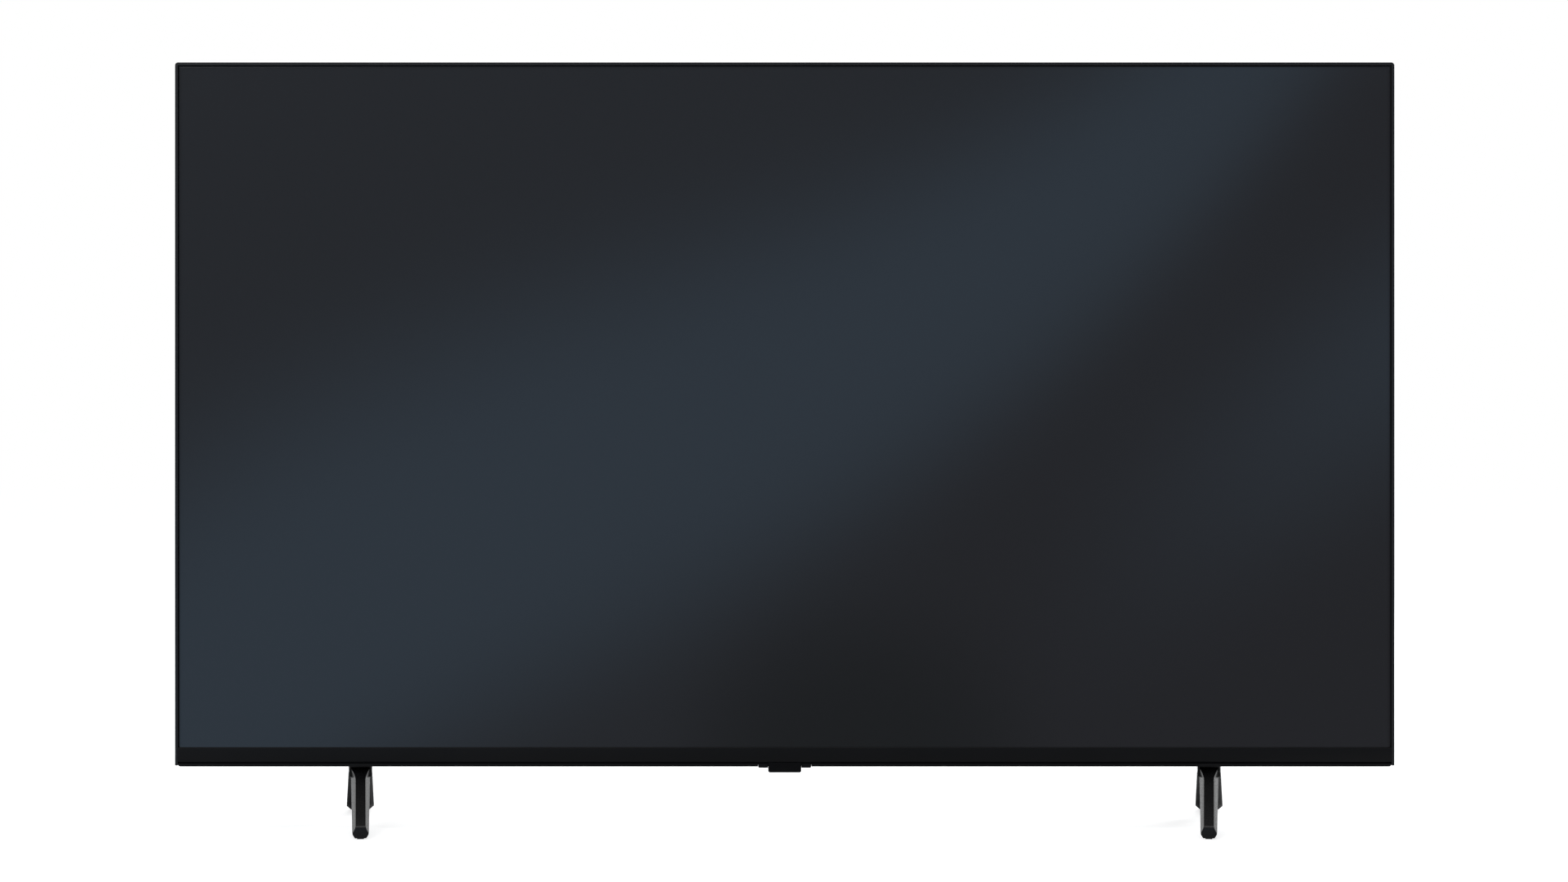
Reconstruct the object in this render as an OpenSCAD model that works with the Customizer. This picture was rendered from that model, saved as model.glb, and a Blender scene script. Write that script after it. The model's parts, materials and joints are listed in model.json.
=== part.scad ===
// Flat screen television on two splayed feet, as an assembly of separate pieces.
// Millimetres. X runs to the right seen from the front, the screen faces -Y, Z is up.
// The origin is at floor level, midway across the width and midway between the foot tips.

/* [Screen] */
// Width of the lit picture
active_w = 1209.6; // [1180:0.1:1300]
// Height of the lit picture
active_h = 680.4; // [660:0.1:730]
// Unlit border of the glass beside and above the picture
black_border = 2.8; // [2.2:0.1:5]
// Thickness of the liquid crystal cell
cell_t = 1.6; // [1.2:0.1:2.5]
// Thickness of the polarising film on the front of the cell
polariser_t = 0.3; // [0.2:0.1:0.5]
// Bare glass around the polarising film
polariser_inset = 0.6; // [0.3:0.1:1.5]
// Thickness of the foam tape behind the cell
tape_t = 0.5; // [0.3:0.1:1]
// How far the lower edge of the cell is tucked behind the bottom bezel
cell_tuck = 5; // [4:0.5:6]

/* [Front frame] */
// Width of the side and top lips seen from the front
frame_lip = 2.9; // [2:0.1:6]
// Dark gap between the cell and the lips
frame_gap = 1.6; // [1.2:0.1:3]
// How far the lips stand in front of the glass
frame_proud = 1.5; // [0.5:0.1:3]
// Depth of the frame from front to back
frame_depth = 24; // [22:0.5:28]
// Radius of the upper corners of the frame
frame_corner_r = 3; // [1:0.5:6]
// Thickness of the inner ledge that carries the cell
ledge_t = 1.6; // [1.2:0.1:2.4]
// Height of the lower ends of the side lips above the underside
frame_rise = 1; // [0.5:0.1:2]
// Height of the bottom rail
rail_h = 3.1; // [2.9:0.1:5]
// Height of the shadow groove above the bottom rail
groove_h = 1.6; // [1:0.1:3]
// Height of the bottom bezel
bezel_h = 14.5; // [13:0.5:24]
// Thickness of the bottom bezel
bezel_t = 1.8; // [1.2:0.1:3]
// Gap between the bottom bezel and the glass
bezel_gap = 0.3; // [0.2:0.1:1]
// Width of each clip behind the bottom bezel
clip_w = 16; // [8:1:30]

/* [Light box] */
// Thickness of the prism sheet and of the diffuser sheet
sheet_t = 0.3; // [0.2:0.1:0.5]
// Thickness of the diffuser plate
plate_t = 1.5; // [1.2:0.1:2.5]
// How far the sheets reach past the lit picture
sheet_reach = 2; // [1:0.1:3]
// Depth of the light box from the diffuser plate to the pan floor
light_depth = 20.2; // [18:0.1:24]
// Thickness of the pressed steel pan
pan_t = 0.8; // [0.6:0.1:1.2]
// Slope of the pan walls, measured across
pan_draft = 15; // [8:1:20]
// Depth of the pressed stiffening beads on the pan
bead_h = 2.2; // [1:0.1:2.6]
// Width of the stiffening beads
bead_w = 16; // [8:1:24]
// Number of rows of light strips
led_rows = 5; // [3:1:7]
// Number of lights in one row, an even number
led_cols = 10; // [6:2:14]
// Width of a light strip
strip_w = 17; // [14:1:24]
// Thickness of a light strip
strip_t = 1.1; // [0.8:0.1:1.6]
// Gap between the two strips of one row
strip_split = 20; // [8:1:40]
// Radius of a lens over a light
lens_r = 7.5; // [5:0.5:9]
// Height of a lens
lens_h = 5.5; // [4:0.5:8]
// Thickness of the reflector sheet
reflector_t = 0.5; // [0.3:0.1:0.8]
// Radius of the foot of a diffuser support
support_r = 5; // [3:0.5:8]

/* [Rear cover] */
// Wall of the rear cover
wall = 2.5; // [2:0.1:3]
// Depth of the sloped margin behind the frame
slim_depth = 19.5; // [19:0.5:26]
// Depth of the electronics housing behind the slim part
bulge_depth = 38; // [34:0.5:50]
// How far the slim back is set in from the edge
margin_in = 40; // [25:1:60]
// How far the housing spreads from its back to its base
bulge_flare = 35; // [20:1:45]
// Room between the terminal bay and the end of the housing
bulge_margin = 60; // [50:1:80]
// Room above the boards inside the housing
bulge_head = 40; // [38:1:60]
// Rounding of the slim back
slim_r = 14; // [6:1:20]
// Rounding of the housing
bulge_r = 10; // [5:1:14]
// Rounding of the lower edge of the housing
low_edge_r = 6; // [4:0.5:7]
// Thickness of the tongue that locates the cover in the frame
tongue_t = 1.5; // [1:0.1:2]
// Length of the tongue
tongue_l = 4; // [2:0.5:6]
// Width of a vent slot
vent_w = 3.6; // [2.5:0.1:4.5]
// Height of a vent slot
vent_h = 26; // [16:1:28]
// Distance between vent slots
vent_pitch = 9; // [8:0.5:14]
// Number of vent slots along the top of the housing
vent_top_n = 62; // [20:2:70]
// Number of vent slots low on the back of the housing
vent_low_n = 36; // [10:2:40]

/* [Wall mount] */
// Distance between the wall mount holes both ways
wall_pitch = 200; // [195:1:205]
// Height of the middle of the wall mount pattern above the underside
wall_z = 272; // [268:1:300]
// Radius of a wall mount post
post_r = 7; // [6:0.5:8]
// Radius of the tapped wall mount hole
wall_hole_r = 2.5; // [2:0.1:3.5]
// Depth of the tapped wall mount hole
wall_hole_l = 24; // [15:1:35]

/* [Boards] */
// Height of the posts that carry the boards
standoff_h = 6; // [5:0.5:7]
// Radius of the posts that carry the boards
standoff_r = 4; // [3:0.1:5]
// Thickness of a circuit board
board_t = 1.6; // [1:0.1:2]
// Room between a wall mount post and a board
board_gap = 5; // [4:0.5:10]
// Width of the main board
main_w = 215; // [200:1:235]
// Height of the main board
main_h = 205; // [200:1:215]
// Width of the power board
psu_w = 188; // [175:1:210]
// Height of the power board
psu_h = 175; // [170:1:200]
// Width of the timing board
tcon_w = 170; // [150:1:176]
// Height of the timing board
tcon_h = 50; // [40:1:56]
// Distance of a board screw from the edges of its board
screw_inset = 9; // [7:0.5:12]

/* [Terminals] */
// Wall of the terminal tray
tray_t = 2.5; // [2:0.1:3]
// Room between a board and the tray wall
edge_gap = 2.5; // [2:0.1:4]
// Width of the terminal bay beside the sockets
bay_w = 68; // [60:1:76]
// Height of the terminal bay under the sockets
bay_h = 85; // [75:1:95]
// Height of the bay floor above the speakers
bay_rise = 38; // [37:1:44]
// Clearance around a socket in its opening
socket_fit = 0.4; // [0.2:0.1:0.6]
// How far a socket stands out of its wall
socket_proud = 0.4; // [0.2:0.1:1]
// Number of side video sockets
video_n = 3; // [2:1:3]
// Distance between side sockets
socket_pitch = 22; // [19:0.5:22]
// Width of the module card slot opening
card_w = 55; // [54:0.5:57]
// Height of the module card slot opening
card_h = 5.2; // [4.8:0.1:6]
// Radius of the aerial sockets
aerial_r = 4.75; // [4:0.05:5]
// Length of the aerial sockets
aerial_l = 11; // [9:0.5:14]
// Radius of the bore of the headphone socket
phone_r = 1.8; // [1.75:0.05:2]
// Width of the mains inlet pocket
inlet_w = 52; // [45:1:60]
// Height of the mains inlet pocket
inlet_h = 50; // [40:1:60]

/* [Speakers] */
// Distance of a speaker box from the middle
speaker_x = 215; // [200:1:225]
// Width of a speaker box
speaker_w = 150; // [120:1:160]
// Depth of a speaker box
speaker_d = 45; // [43.5:0.5:46]
// Height of a speaker box
speaker_h = 56; // [46:1:58]
// Wall of a speaker box
speaker_t = 2; // [1.5:0.1:2.5]
// Radius of the flange of a loudspeaker
driver_r = 20.5; // [20:0.1:21.5]
// Radius of a loudspeaker cone
cone_r = 14.5; // [13:0.1:14.8]
// Thickness of the gasket under a loudspeaker
gasket_t = 2; // [1.5:0.1:3]
// Number of sound slots under each loudspeaker
sound_n = 8; // [4:1:8]
// Width of a sound slot
sound_w = 2.2; // [1.5:0.1:2.8]

/* [Sensor and key] */
// Width of the sensor housing
sensor_w = 53.2; // [50:0.1:60]
// How far the sensor housing hangs below the underside
sensor_drop = 1.5; // [1:0.1:2]
// Depth of the sensor housing
sensor_d = 15; // [14.5:0.1:17]
// Width of the sensor window
window_w = 33.2; // [31:0.1:40]
// How far the sensor window hangs below the underside
window_drop = 5.9; // [5.7:0.1:7]
// Wall of the sensor window
window_t = 1.5; // [1.2:0.1:1.6]
// Radius of the power key
key_r = 3.6; // [3:0.1:3.8]
// Travel of the power key
key_travel = 0.7; // [0.3:0.05:0.8]
// Clearance around the power key
key_fit = 0.25; // [0.15:0.05:0.4]

/* [Feet] */
// Distance of each foot from the middle, at the glass
foot_x = 426; // [420:1:440]
// Height of the underside above the floor
foot_h = 62; // [55:0.5:80]
// Outward turn of each foot
foot_turn = 8.4; // [5:0.1:10]
// Reach of the front toe in front of the glass
front_reach = 84; // [70:0.5:110]
// Reach of the rear toe behind the glass
rear_reach = 156; // [140:0.5:190]
// Width of the front toe
front_toe_w = 15.6; // [14:0.1:20]
// Width of the rear toe
rear_toe_w = 28.6; // [26:0.1:34]
// Width of the neck of a foot
neck_w = 22.4; // [20:0.1:25]
// Width of the front leg where it meets the neck
leg_w = 19.4; // [17:0.1:20]
// Width of the flat face of the front leg
leg_face = 9.6; // [8:0.1:12]
// Height of the front toe
front_toe_h = 11; // [9:0.5:14]
// Height of the rear toe
rear_toe_h = 8.5; // [7:0.5:12]
// Length of the sole of each toe
sole_l = 14; // [12:0.5:20]
// Thickness of the foot where it meets the underside
arch_t = 12; // [10:0.5:14]
// Thickness of a rubber pad
pad_t = 2; // [1.5:0.1:3]
// How far a pad stands out of the sole
pad_proud = 1; // [0.5:0.1:1.2]

/* [Fasteners] */
// Radius of the thread of a board or cover screw
screw_r = 1.45; // [1:0.05:1.5]
// Radius of the head of a board or cover screw
head_r = 3.6; // [2.5:0.1:4]
// Height of the head of a board or cover screw
head_h = 2.2; // [1.6:0.1:2.6]
// Radius of the thread of a foot screw
foot_screw_r = 1.95; // [1.5:0.05:2.1]
// Radius of the head of a foot screw
foot_head_r = 3.9; // [3:0.1:4.1]

/* [Hidden] */
$fn = 48;
fit = 0.2;
over = 1;
fillet_n = 5;
// Heights and half widths of the screen and frame, with z from the underside
glass_w = active_w + 2 * black_border;
glass_z0 = rail_h + groove_h + bezel_h;
lit_z1 = glass_z0 + active_h;
glass_z1 = lit_z1 + black_border;
cell_z0 = glass_z0 - cell_tuck;
lip_x = glass_w / 2 + frame_gap;
lip_z = glass_z1 + frame_gap;
set_w = 2 * (lip_x + frame_lip);
set_h = lip_z + frame_lip;
rail_x = lip_x - fit;
apron_z1 = glass_z0 - fit;
bezel_z0 = rail_h + groove_h;
// Depths from the glass backwards
frame_y0 = -frame_proud;
frame_y1 = frame_y0 + frame_depth;
ledge_y0 = cell_t + tape_t;
ledge_y1 = ledge_y0 + ledge_t;
prism_y1 = ledge_y1 + sheet_t;
sheet_y1 = prism_y1 + sheet_t;
plate_y1 = sheet_y1 + plate_t;
floor_y0 = plate_y1 + light_depth;
pan_y1 = floor_y0 + pan_t;
strip_y0 = floor_y0 - strip_t;
board_y0 = pan_y1 + standoff_h;
board_y1 = board_y0 + board_t;
slim_y = frame_y1 + slim_depth;
deep_y = slim_y + bulge_depth;
seat_t = 3.6;
seat_y = board_y0 + seat_t;
// Light box
sheet_x = active_w / 2 + sheet_reach;
flange_in = 3;
pan_x = active_w / 2 - flange_in;
pan_z0 = glass_z0 + flange_in;
pan_z1 = lit_z1 - flange_in;
flange_x = lip_x - 2 * fit;
flange_z0 = glass_z0 - sheet_reach - 3;
flange_z1 = lip_z - 2 * fit;
strip_end = active_w / 2 - 42;
// Driver films between the cell and the source boards
film_n = 10;
film_w = 36;
film_t = 0.25;
film_y0 = cell_t / 2;
film_z = cell_z0 - 4.6;
film_pitch = (glass_w - 115) / film_n;
source_t = 1.2;
source_h = 12;
source_z0 = pan_z0 + pan_draft + 3;
source_x0 = sensor_w / 2 + 4;
source_x1 = film_pitch * (film_n - 1) / 2 + film_w;
// Speakers
flange_t = 1.5;
speaker_y0 = pan_y1 + 3.2;
speaker_z0 = wall + gasket_t + flange_t;
speaker_z1 = speaker_z0 + speaker_h;
driver_x = speaker_x + speaker_w / 2;
driver_y = speaker_y0 + speaker_d / 2;
coil_r = 7;
cone_z = speaker_z0 + 1;
cone_h = 8;
basket_h = 16;
magnet_h = 12;
magnet_z = speaker_z0 + basket_h;
// Boards and terminals
main_x1 = -(wall_pitch / 2 + post_r + board_gap);
main_x0 = main_x1 - main_w;
term_x = main_x0 - edge_gap - tray_t;
bay_x0 = term_x - bay_w;
bay_x1 = main_x1 - tray_t;
bay_z0 = speaker_z1 + bay_rise;
term_z = bay_z0 + bay_h;
main_z0 = term_z + tray_t + edge_gap;
main_z1 = main_z0 + main_h;
bay_z1 = main_z1 + 4;
tray_y0 = pan_y1 + bead_h + 0.4;
tray_y1 = deep_y - wall;
psu_x0 = wall_pitch / 2 + post_r + board_gap;
psu_x1 = psu_x0 + psu_w;
psu_z1 = main_z0 + psu_h;
inlet_x = psu_x1 + edge_gap + tray_t;
inlet_z = main_z0 + 50;
tcon_z0 = bay_z0 - 4;
tcon_z1 = tcon_z0 + tcon_h;
// Housing of the rear cover
bulge_x1 = max(-bay_x0, inlet_x + inlet_w) + tray_t + bulge_margin;
bulge_x0 = bulge_x1 + bulge_flare;
bulge_z1 = max(main_z1, psu_z1, wall_z + wall_pitch / 2) + bulge_head;
bulge_z0 = bulge_z1 + bulge_flare;
slim_x = set_w / 2 - margin_in;
slim_z = set_h - margin_in;
well_r = head_r + 0.8;
boss_r = well_r + 2;
cover_screw_in = 30;
cover_screws_at = [
    [-(slim_x - cover_screw_in), slim_z - cover_screw_in],
    [0, slim_z - cover_screw_in],
    [slim_x - cover_screw_in, slim_z - cover_screw_in],
    [-(slim_x - cover_screw_in), set_h / 2],
    [slim_x - cover_screw_in, set_h / 2],
    [-(bulge_x1 - 60), bulge_z1 - 16],
    [0, bulge_z1 - 16],
    [bulge_x1 - 60, bulge_z1 - 16],
    [-(bulge_x1 - 50), bay_z0 - 17],
    [bulge_x1 - 50, bay_z0 - 17]];
main_screws_at = [
    [main_x0 + screw_inset + 74, main_z0 + screw_inset + 46],
    [main_x1 - screw_inset, main_z0 + screw_inset],
    [main_x0 + screw_inset + 74, main_z1 - screw_inset],
    [main_x1 - screw_inset, main_z1 - screw_inset]];
psu_screws_at = [
    [psu_x0 + screw_inset, main_z0 + screw_inset],
    [psu_x1 - screw_inset, main_z0 + screw_inset],
    [psu_x0 + screw_inset, psu_z1 - screw_inset],
    [psu_x1 - screw_inset, psu_z1 - screw_inset]];
tcon_screws_at = [
    [-(tcon_w / 2 - screw_inset), tcon_z1 - screw_inset],
    [tcon_w / 2 - screw_inset, tcon_z1 - screw_inset]];
board_screws_at = concat(main_screws_at, psu_screws_at, tcon_screws_at);
// Side sockets, from the bottom up
phone_z = main_z0 + 14;
video_z0 = phone_z + socket_pitch;
data_z0 = video_z0 + video_n * socket_pitch;
data_n = 2;
data_pitch = 18;
card_z = main_z1 - card_w / 2 - 8;
// Downward sockets, from the terminal wall inwards
lan_x = main_x0 + 104;
optical_x = main_x0 + 130;
tuner_x = main_x0 + 172;
aerial_gap = 20;
aerial_y = 7;
// Sensor and key
sensor_y0 = 0.4;
sensor_y1 = sensor_y0 + sensor_d;
window_y0 = -1.7;
window_y1 = sensor_y1 - 2;
window_z1 = rail_h + 1.2;
key_y = (sensor_y0 + window_y1) / 2;
key_rim_t = 0.8;
sensor_board_z = 0.9;
sensor_board_t = 1.2;
switch_w = 6.2;
switch_h = 2.6;
// Feet
foot_y0 = 8;
foot_y1 = 70;
foot_screw_v = [38.5, 58];
peg_v = 48.2;
peg_r = 4;
peg_h = 6;
sole_z = -(foot_h - pad_proud);
front_ext = front_reach * cos(foot_turn) + front_toe_w / 2 * sin(foot_turn);
rear_ext = rear_reach * cos(foot_turn) + rear_toe_w / 2 * sin(foot_turn);
screen_y = (front_ext - rear_ext) / 2;

// Every piece is drawn from the glass and the underside, then set on the feet
module place() {
    translate([0, screen_y, foot_h]) children();
}

module box(lo, hi) {
    translate(lo) cube(hi - lo);
}

module along_x(x0, x1) {
    translate([x0, 0, 0]) rotate([90, 0, 90]) linear_extrude(x1 - x0) children();
}

module along_y(y0, y1) {
    translate([0, y1, 0]) rotate([90, 0, 0]) linear_extrude(y1 - y0) children();
}

module along_z(z0, z1) {
    translate([0, 0, z0]) linear_extrude(z1 - z0) children();
}

// Round bar along Y between two depths
module rod_y(x, z, y0, y1, r) {
    translate([x, y1, z]) rotate([90, 0, 0]) cylinder(h = y1 - y0, r = r);
}

// Round bar along X between two places
module rod_x(y, z, x0, x1, r) {
    translate([x0, y, z]) rotate([0, 90, 0]) cylinder(h = x1 - x0, r = r);
}

// Upright round bar between two heights
module rod_z(x, y, z0, z1, r) {
    translate([x, y, z0]) cylinder(h = z1 - z0, r = r);
}

module mirror_pair() {
    children();
    mirror([1, 0, 0]) children();
}

function unit(v) = v / norm(v);

// Points of the arc that rounds the corner p between a and b
function corner(a, p, b, r) =
    r <= 0 ? [p] :
    let (u = unit(a - p), w = unit(b - p), half = acos(u * w) / 2)
    let (c = p + unit(u + w) * r / sin(half), s = p + u * r / tan(half), e = p + w * r / tan(half))
    let (a0 = atan2(s.y - c.y, s.x - c.x), turn = atan2(e.y - c.y, e.x - c.x) - a0)
    let (sweep = turn > 180 ? turn - 360 : turn < -180 ? turn + 360 : turn)
    [for (i = [0:fillet_n]) c + r * [cos(a0 + sweep * i / fillet_n), sin(a0 + sweep * i / fillet_n)]];

function rounded(pts, radii) =
    [for (i = [0:len(pts) - 1])
        each corner(pts[(i + len(pts) - 1) % len(pts)], pts[i], pts[(i + 1) % len(pts)], radii[i])];

// Tray shape with sloped sides: half width and two heights at each depth
module hip(y0, x0, z0, z1, y1, x1, z2, z3) {
    intersection() {
        along_z(min(z0, z2) - over, max(z1, z3) + over)
            polygon([[-x0, y0], [x0, y0], [x1, y1], [-x1, y1]]);
        along_x(-max(x0, x1) - over, max(x0, x1) + over)
            polygon([[y0, z0], [y1, z2], [y1, z3], [y0, z1]]);
    }
}

module front_frame() {
    color("#1d1d1f") place() {
        difference() {
            along_y(frame_y0, frame_y1)
                polygon(rounded([[-set_w / 2, frame_rise], [set_w / 2, frame_rise],
                    [set_w / 2, set_h], [-set_w / 2, set_h]], [0, 0, frame_corner_r, frame_corner_r]));
            box([-lip_x, frame_y0 - over, -over], [lip_x, frame_y1 + over, lip_z]);
        }
        // Inner ledge behind the border of the cell
        difference() {
            box([-lip_x - over, ledge_y0, apron_z1 + fit], [lip_x + over, ledge_y1, lip_z + over]);
            box([-active_w / 2, ledge_y0 - over, 0], [active_w / 2, ledge_y1 + over, lit_z1]);
        }
    }
}

function film_x(i) = (i - (film_n - 1) / 2) * film_pitch;

module bottom_rail() {
    color("#161617") place() difference() {
        union() {
            along_y(frame_y0, frame_y1)
                polygon(rounded([[-rail_x, 0], [rail_x, 0], [rail_x, rail_h], [-rail_x, rail_h]],
                    [2.4, 2.4, 0, 0]));
            box([-rail_x, ledge_y0, rail_h - over], [rail_x, ledge_y1, apron_z1]);
        }
        // Windows that let the driver films through
        for (i = [0:film_n - 1])
            box([film_x(i) - film_w / 2 - over, ledge_y0 - over, film_z - 1],
                [film_x(i) + film_w / 2 + over, ledge_y1 + over, film_z + 1.4]);
        // Seat of the sensor housing
        box([-sensor_w / 2 - fit, frame_y0 - over, -over], [sensor_w / 2 + fit, sensor_y1, rail_h]);
    }
}

module bottom_bezel() {
    bezel_y0 = -bezel_gap - bezel_t;
    clip_z0 = bezel_z0 + 0.6;
    clip_z1 = film_z - 0.6;
    color("#18181a") place() {
        along_x(-rail_x, rail_x)
            polygon(rounded([[bezel_y0, bezel_z0], [-bezel_gap, bezel_z0],
                [-bezel_gap, glass_z0], [bezel_y0, glass_z0]], [0.7, 0, 0, 0.7]));
        // Clips that reach back to the rail between the driver films
        for (i = [1:film_n - 1]) if (i != film_n / 2)
            translate([film_x(i) - film_pitch / 2, 0, 0])
                box([-clip_w / 2, -bezel_gap - bezel_t / 2, clip_z0], [clip_w / 2, ledge_y0, clip_z1]);
    }
}

module lcd_cell() {
    in = polariser_inset;
    color("#0c0d10") place() {
        box([-glass_w / 2, polariser_t, cell_z0], [glass_w / 2, cell_t, glass_z1]);
        box([-glass_w / 2 + in, 0, cell_z0 + in], [glass_w / 2 - in, polariser_t, glass_z1 - in]);
    }
}

module cell_tape() {
    tape_w = 3;
    color("#2a2a2c") place() difference() {
        box([-glass_w / 2, cell_t, cell_z0], [glass_w / 2, ledge_y0, glass_z1]);
        box([-active_w / 2, cell_t - over, cell_z0 + tape_w], [active_w / 2, ledge_y0 + over, lit_z1]);
    }
}

// Films bonded to the lower edge of the cell and bent back under the light box
module driver_films() {
    a = film_y0;
    b = pan_y1 + source_t;
    color("#8a5a1e") place() for (i = [0:film_n - 1])
        along_x(film_x(i) - film_w / 2, film_x(i) + film_w / 2)
            polygon([[a, cell_z0], [a, film_z + 1], [a + 1, film_z], [b - 2, film_z], [b, film_z + 2],
                [b, source_z0], [b - film_t, source_z0], [b - film_t, film_z + 2.1],
                [b - 2.1, film_z + film_t], [a + 1.1, film_z + film_t], [a + film_t, film_z + 1.1],
                [a + film_t, cell_z0]]);
}

module source_boards() {
    chip = [22, 1.4, 4];
    color("#1f5a36") place() mirror_pair() {
        box([source_x0, pan_y1, source_z0], [source_x1, pan_y1 + source_t, source_z0 + source_h]);
        for (i = [1:4])
            translate([source_x0 + i * (source_x1 - source_x0) / 5, pan_y1 + source_t - 0.2, source_z0 + 4])
                cube(chip);
    }
}

module light_sheet(y0, y1) {
    notch = 6;
    difference() {
        box([-sheet_x, y0, glass_z0 - sheet_reach], [sheet_x, y1, lit_z1 + sheet_reach]);
        // Locating notches on both side edges
        mirror_pair() for (k = [0.25, 0.75])
            box([sheet_x - 1, y0 - over, glass_z0 + active_h * k - notch],
                [sheet_x + over, y1 + over, glass_z0 + active_h * k + notch]);
    }
}

module prism_sheet() {
    color("#e4e8ea") place() light_sheet(ledge_y1, prism_y1);
}

module diffuser_sheet() {
    color("#f0f0ee") place() light_sheet(prism_y1, sheet_y1);
}

module diffuser_plate() {
    color("#f4f4f0") place() light_sheet(sheet_y1, plate_y1);
}

function led_x(j) = -active_w / 2 + active_w * (j + 0.5) / led_cols;

function led_z(i) = glass_z0 + active_h * (i + 0.5) / led_rows;

function pan_in(y) = pan_draft * (y - plate_y1) / light_depth;

// Solid of the inside of the pan, set in by gap, open in front and reaching back to depth y1
module pan_hollow(gap, y0, y1) {
    a = gap + pan_in(y0);
    b = gap + pan_in(y1);
    hip(y0, pan_x - a, pan_z0 + a, pan_z1 - a, y1, pan_x - b, pan_z0 + b, pan_z1 - b);
}

module reflector_sheet() {
    gap = 0.5;
    color("#fafafa") place() difference() {
        pan_hollow(gap, plate_y1, strip_y0);
        pan_hollow(gap + reflector_t, plate_y1 - over, strip_y0 - reflector_t);
        for (i = [0:led_rows - 1]) for (j = [0:led_cols - 1])
            rod_y(led_x(j), led_z(i), strip_y0 - reflector_t - over, strip_y0 + over, lens_r + 1);
    }
}

module diffuser_supports() {
    tip_r = 1.2;
    base_y = strip_y0 - reflector_t;
    tip_gap = 0.3;
    color("#eeeeee") place() for (i = [1, led_rows - 1]) for (j = [2, led_cols / 2, led_cols - 2])
        translate([led_x(j) - active_w / led_cols / 2, base_y, led_z(i) - active_h / led_rows / 2])
            rotate([90, 0, 0]) cylinder(h = base_y - plate_y1 - tip_gap, r1 = support_r, r2 = tip_r);
}

module led_strips() {
    color("#e8e8e4") place() for (i = [0:led_rows - 1]) mirror_pair()
        box([strip_split / 2, strip_y0, led_z(i) - strip_w / 2],
            [strip_end, floor_y0, led_z(i) + strip_w / 2]);
}

// Domed lens with a hollow at its crown
module led_lens() {
    dome = [for (a = [0:15:75]) [lens_r * cos(a), 1.2 + (lens_h - 1.2) * sin(a)]];
    rotate([90, 0, 0]) rotate_extrude()
        polygon(concat([[0, 0], [lens_r, 0]], dome, [[0, lens_h * 0.72]]));
}

module led_lenses() {
    color("#dfe6ea") place() for (i = [0:led_rows - 1]) for (j = [0:led_cols - 1])
        translate([led_x(j), strip_y0, led_z(i)]) led_lens();
}

// Threaded post pressed into the back of the pan
module pan_post(at) {
    difference() {
        rod_y(at.x, at.y, pan_y1 - pan_t / 2, board_y0, standoff_r);
        rod_y(at.x, at.y, pan_y1 + 0.6, board_y0 + over, screw_r + 0.05);
    }
}

module pan_bead(x0, x1, z) {
    along_x(x0, x1) polygon([[pan_y1 - pan_t / 2, z - bead_w / 2], [pan_y1 + bead_h, z - bead_w / 2 + bead_h],
        [pan_y1 + bead_h, z + bead_w / 2 - bead_h], [pan_y1 - pan_t / 2, z + bead_w / 2]]);
}

module back_pan() {
    bead_x = slim_x - 70;
    color("#9aa0a4") place() {
        difference() {
            union() {
                // Flange that carries the diffuser plate
                box([-flange_x, plate_y1, flange_z0], [flange_x, plate_y1 + pan_t, flange_z1]);
                pan_hollow(-pan_t, plate_y1, pan_y1);
            }
            pan_hollow(0, plate_y1 - over, floor_y0);
        }
        for (at = concat(board_screws_at, cover_screws_at)) pan_post(at);
        // Pressed beads that stiffen the floor of the pan
        for (z = [bulge_z0 + 40, bulge_z0 + 90]) pan_bead(-bead_x, bead_x, z);
        for (z = [wall_z + wall_pitch / 2 + 32, wall_z - wall_pitch / 2 - 30])
            pan_bead(-bead_x, bead_x, z);
    }
}

module wall_mount_posts() {
    color("#b8bcc0") place() for (sx = [-1, 1]) for (sz = [-1, 1])
        translate([sx * wall_pitch / 2, 0, wall_z + sz * wall_pitch / 2]) difference() {
            union() {
                rod_y(0, 0, pan_y1, deep_y, post_r);
                rod_y(0, 0, pan_y1, pan_y1 + 2, post_r + 4);
            }
            rod_y(0, 0, deep_y - wall_hole_l, deep_y + over, wall_hole_r);
        }
}

// Outer form of the rear cover, set in by t
module cover_form(t) {
    front = t > 0 ? frame_y1 - over : frame_y1;
    // Slim part with sloped margins
    intersection() {
        along_z(-over, set_h + over)
            polygon(rounded([[-set_w / 2 + t, front], [set_w / 2 - t, front],
                [set_w / 2 - t, frame_y1], [slim_x - t, slim_y - t],
                [-slim_x + t, slim_y - t], [-set_w / 2 + t, frame_y1]],
                [0, 0, 0, slim_r, slim_r, 0]));
        along_x(-set_w, set_w)
            polygon(rounded([[front, t], [slim_y - t, t], [slim_y - t, slim_z - t],
                [frame_y1, set_h - t], [front, set_h - t]], [0, 4, slim_r, 0, 0]));
        along_y(frame_y0, slim_y + over)
            polygon(rounded([[-set_w / 2 + t, t], [set_w / 2 - t, t],
                [set_w / 2 - t, set_h - t], [-set_w / 2 + t, set_h - t]],
                [frame_corner_r, frame_corner_r, frame_corner_r, frame_corner_r]));
    }
    // Housing for the electronics
    intersection() {
        along_z(-over, set_h)
            polygon(rounded([[-bulge_x0 + t, front], [bulge_x0 - t, front], [bulge_x0 - t, slim_y - t],
                [bulge_x1 - t, deep_y - t], [-bulge_x1 + t, deep_y - t], [-bulge_x0 + t, slim_y - t]],
                [0, 0, 0, bulge_r, bulge_r, 0]));
        along_x(-set_w, set_w)
            polygon(rounded([[front, t], [deep_y - t, t], [deep_y - t, bulge_z1 - t],
                [slim_y - t, bulge_z0 - t], [front, bulge_z0 - t]], [0, low_edge_r - t, bulge_r, 0, 0]));
    }
}

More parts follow.
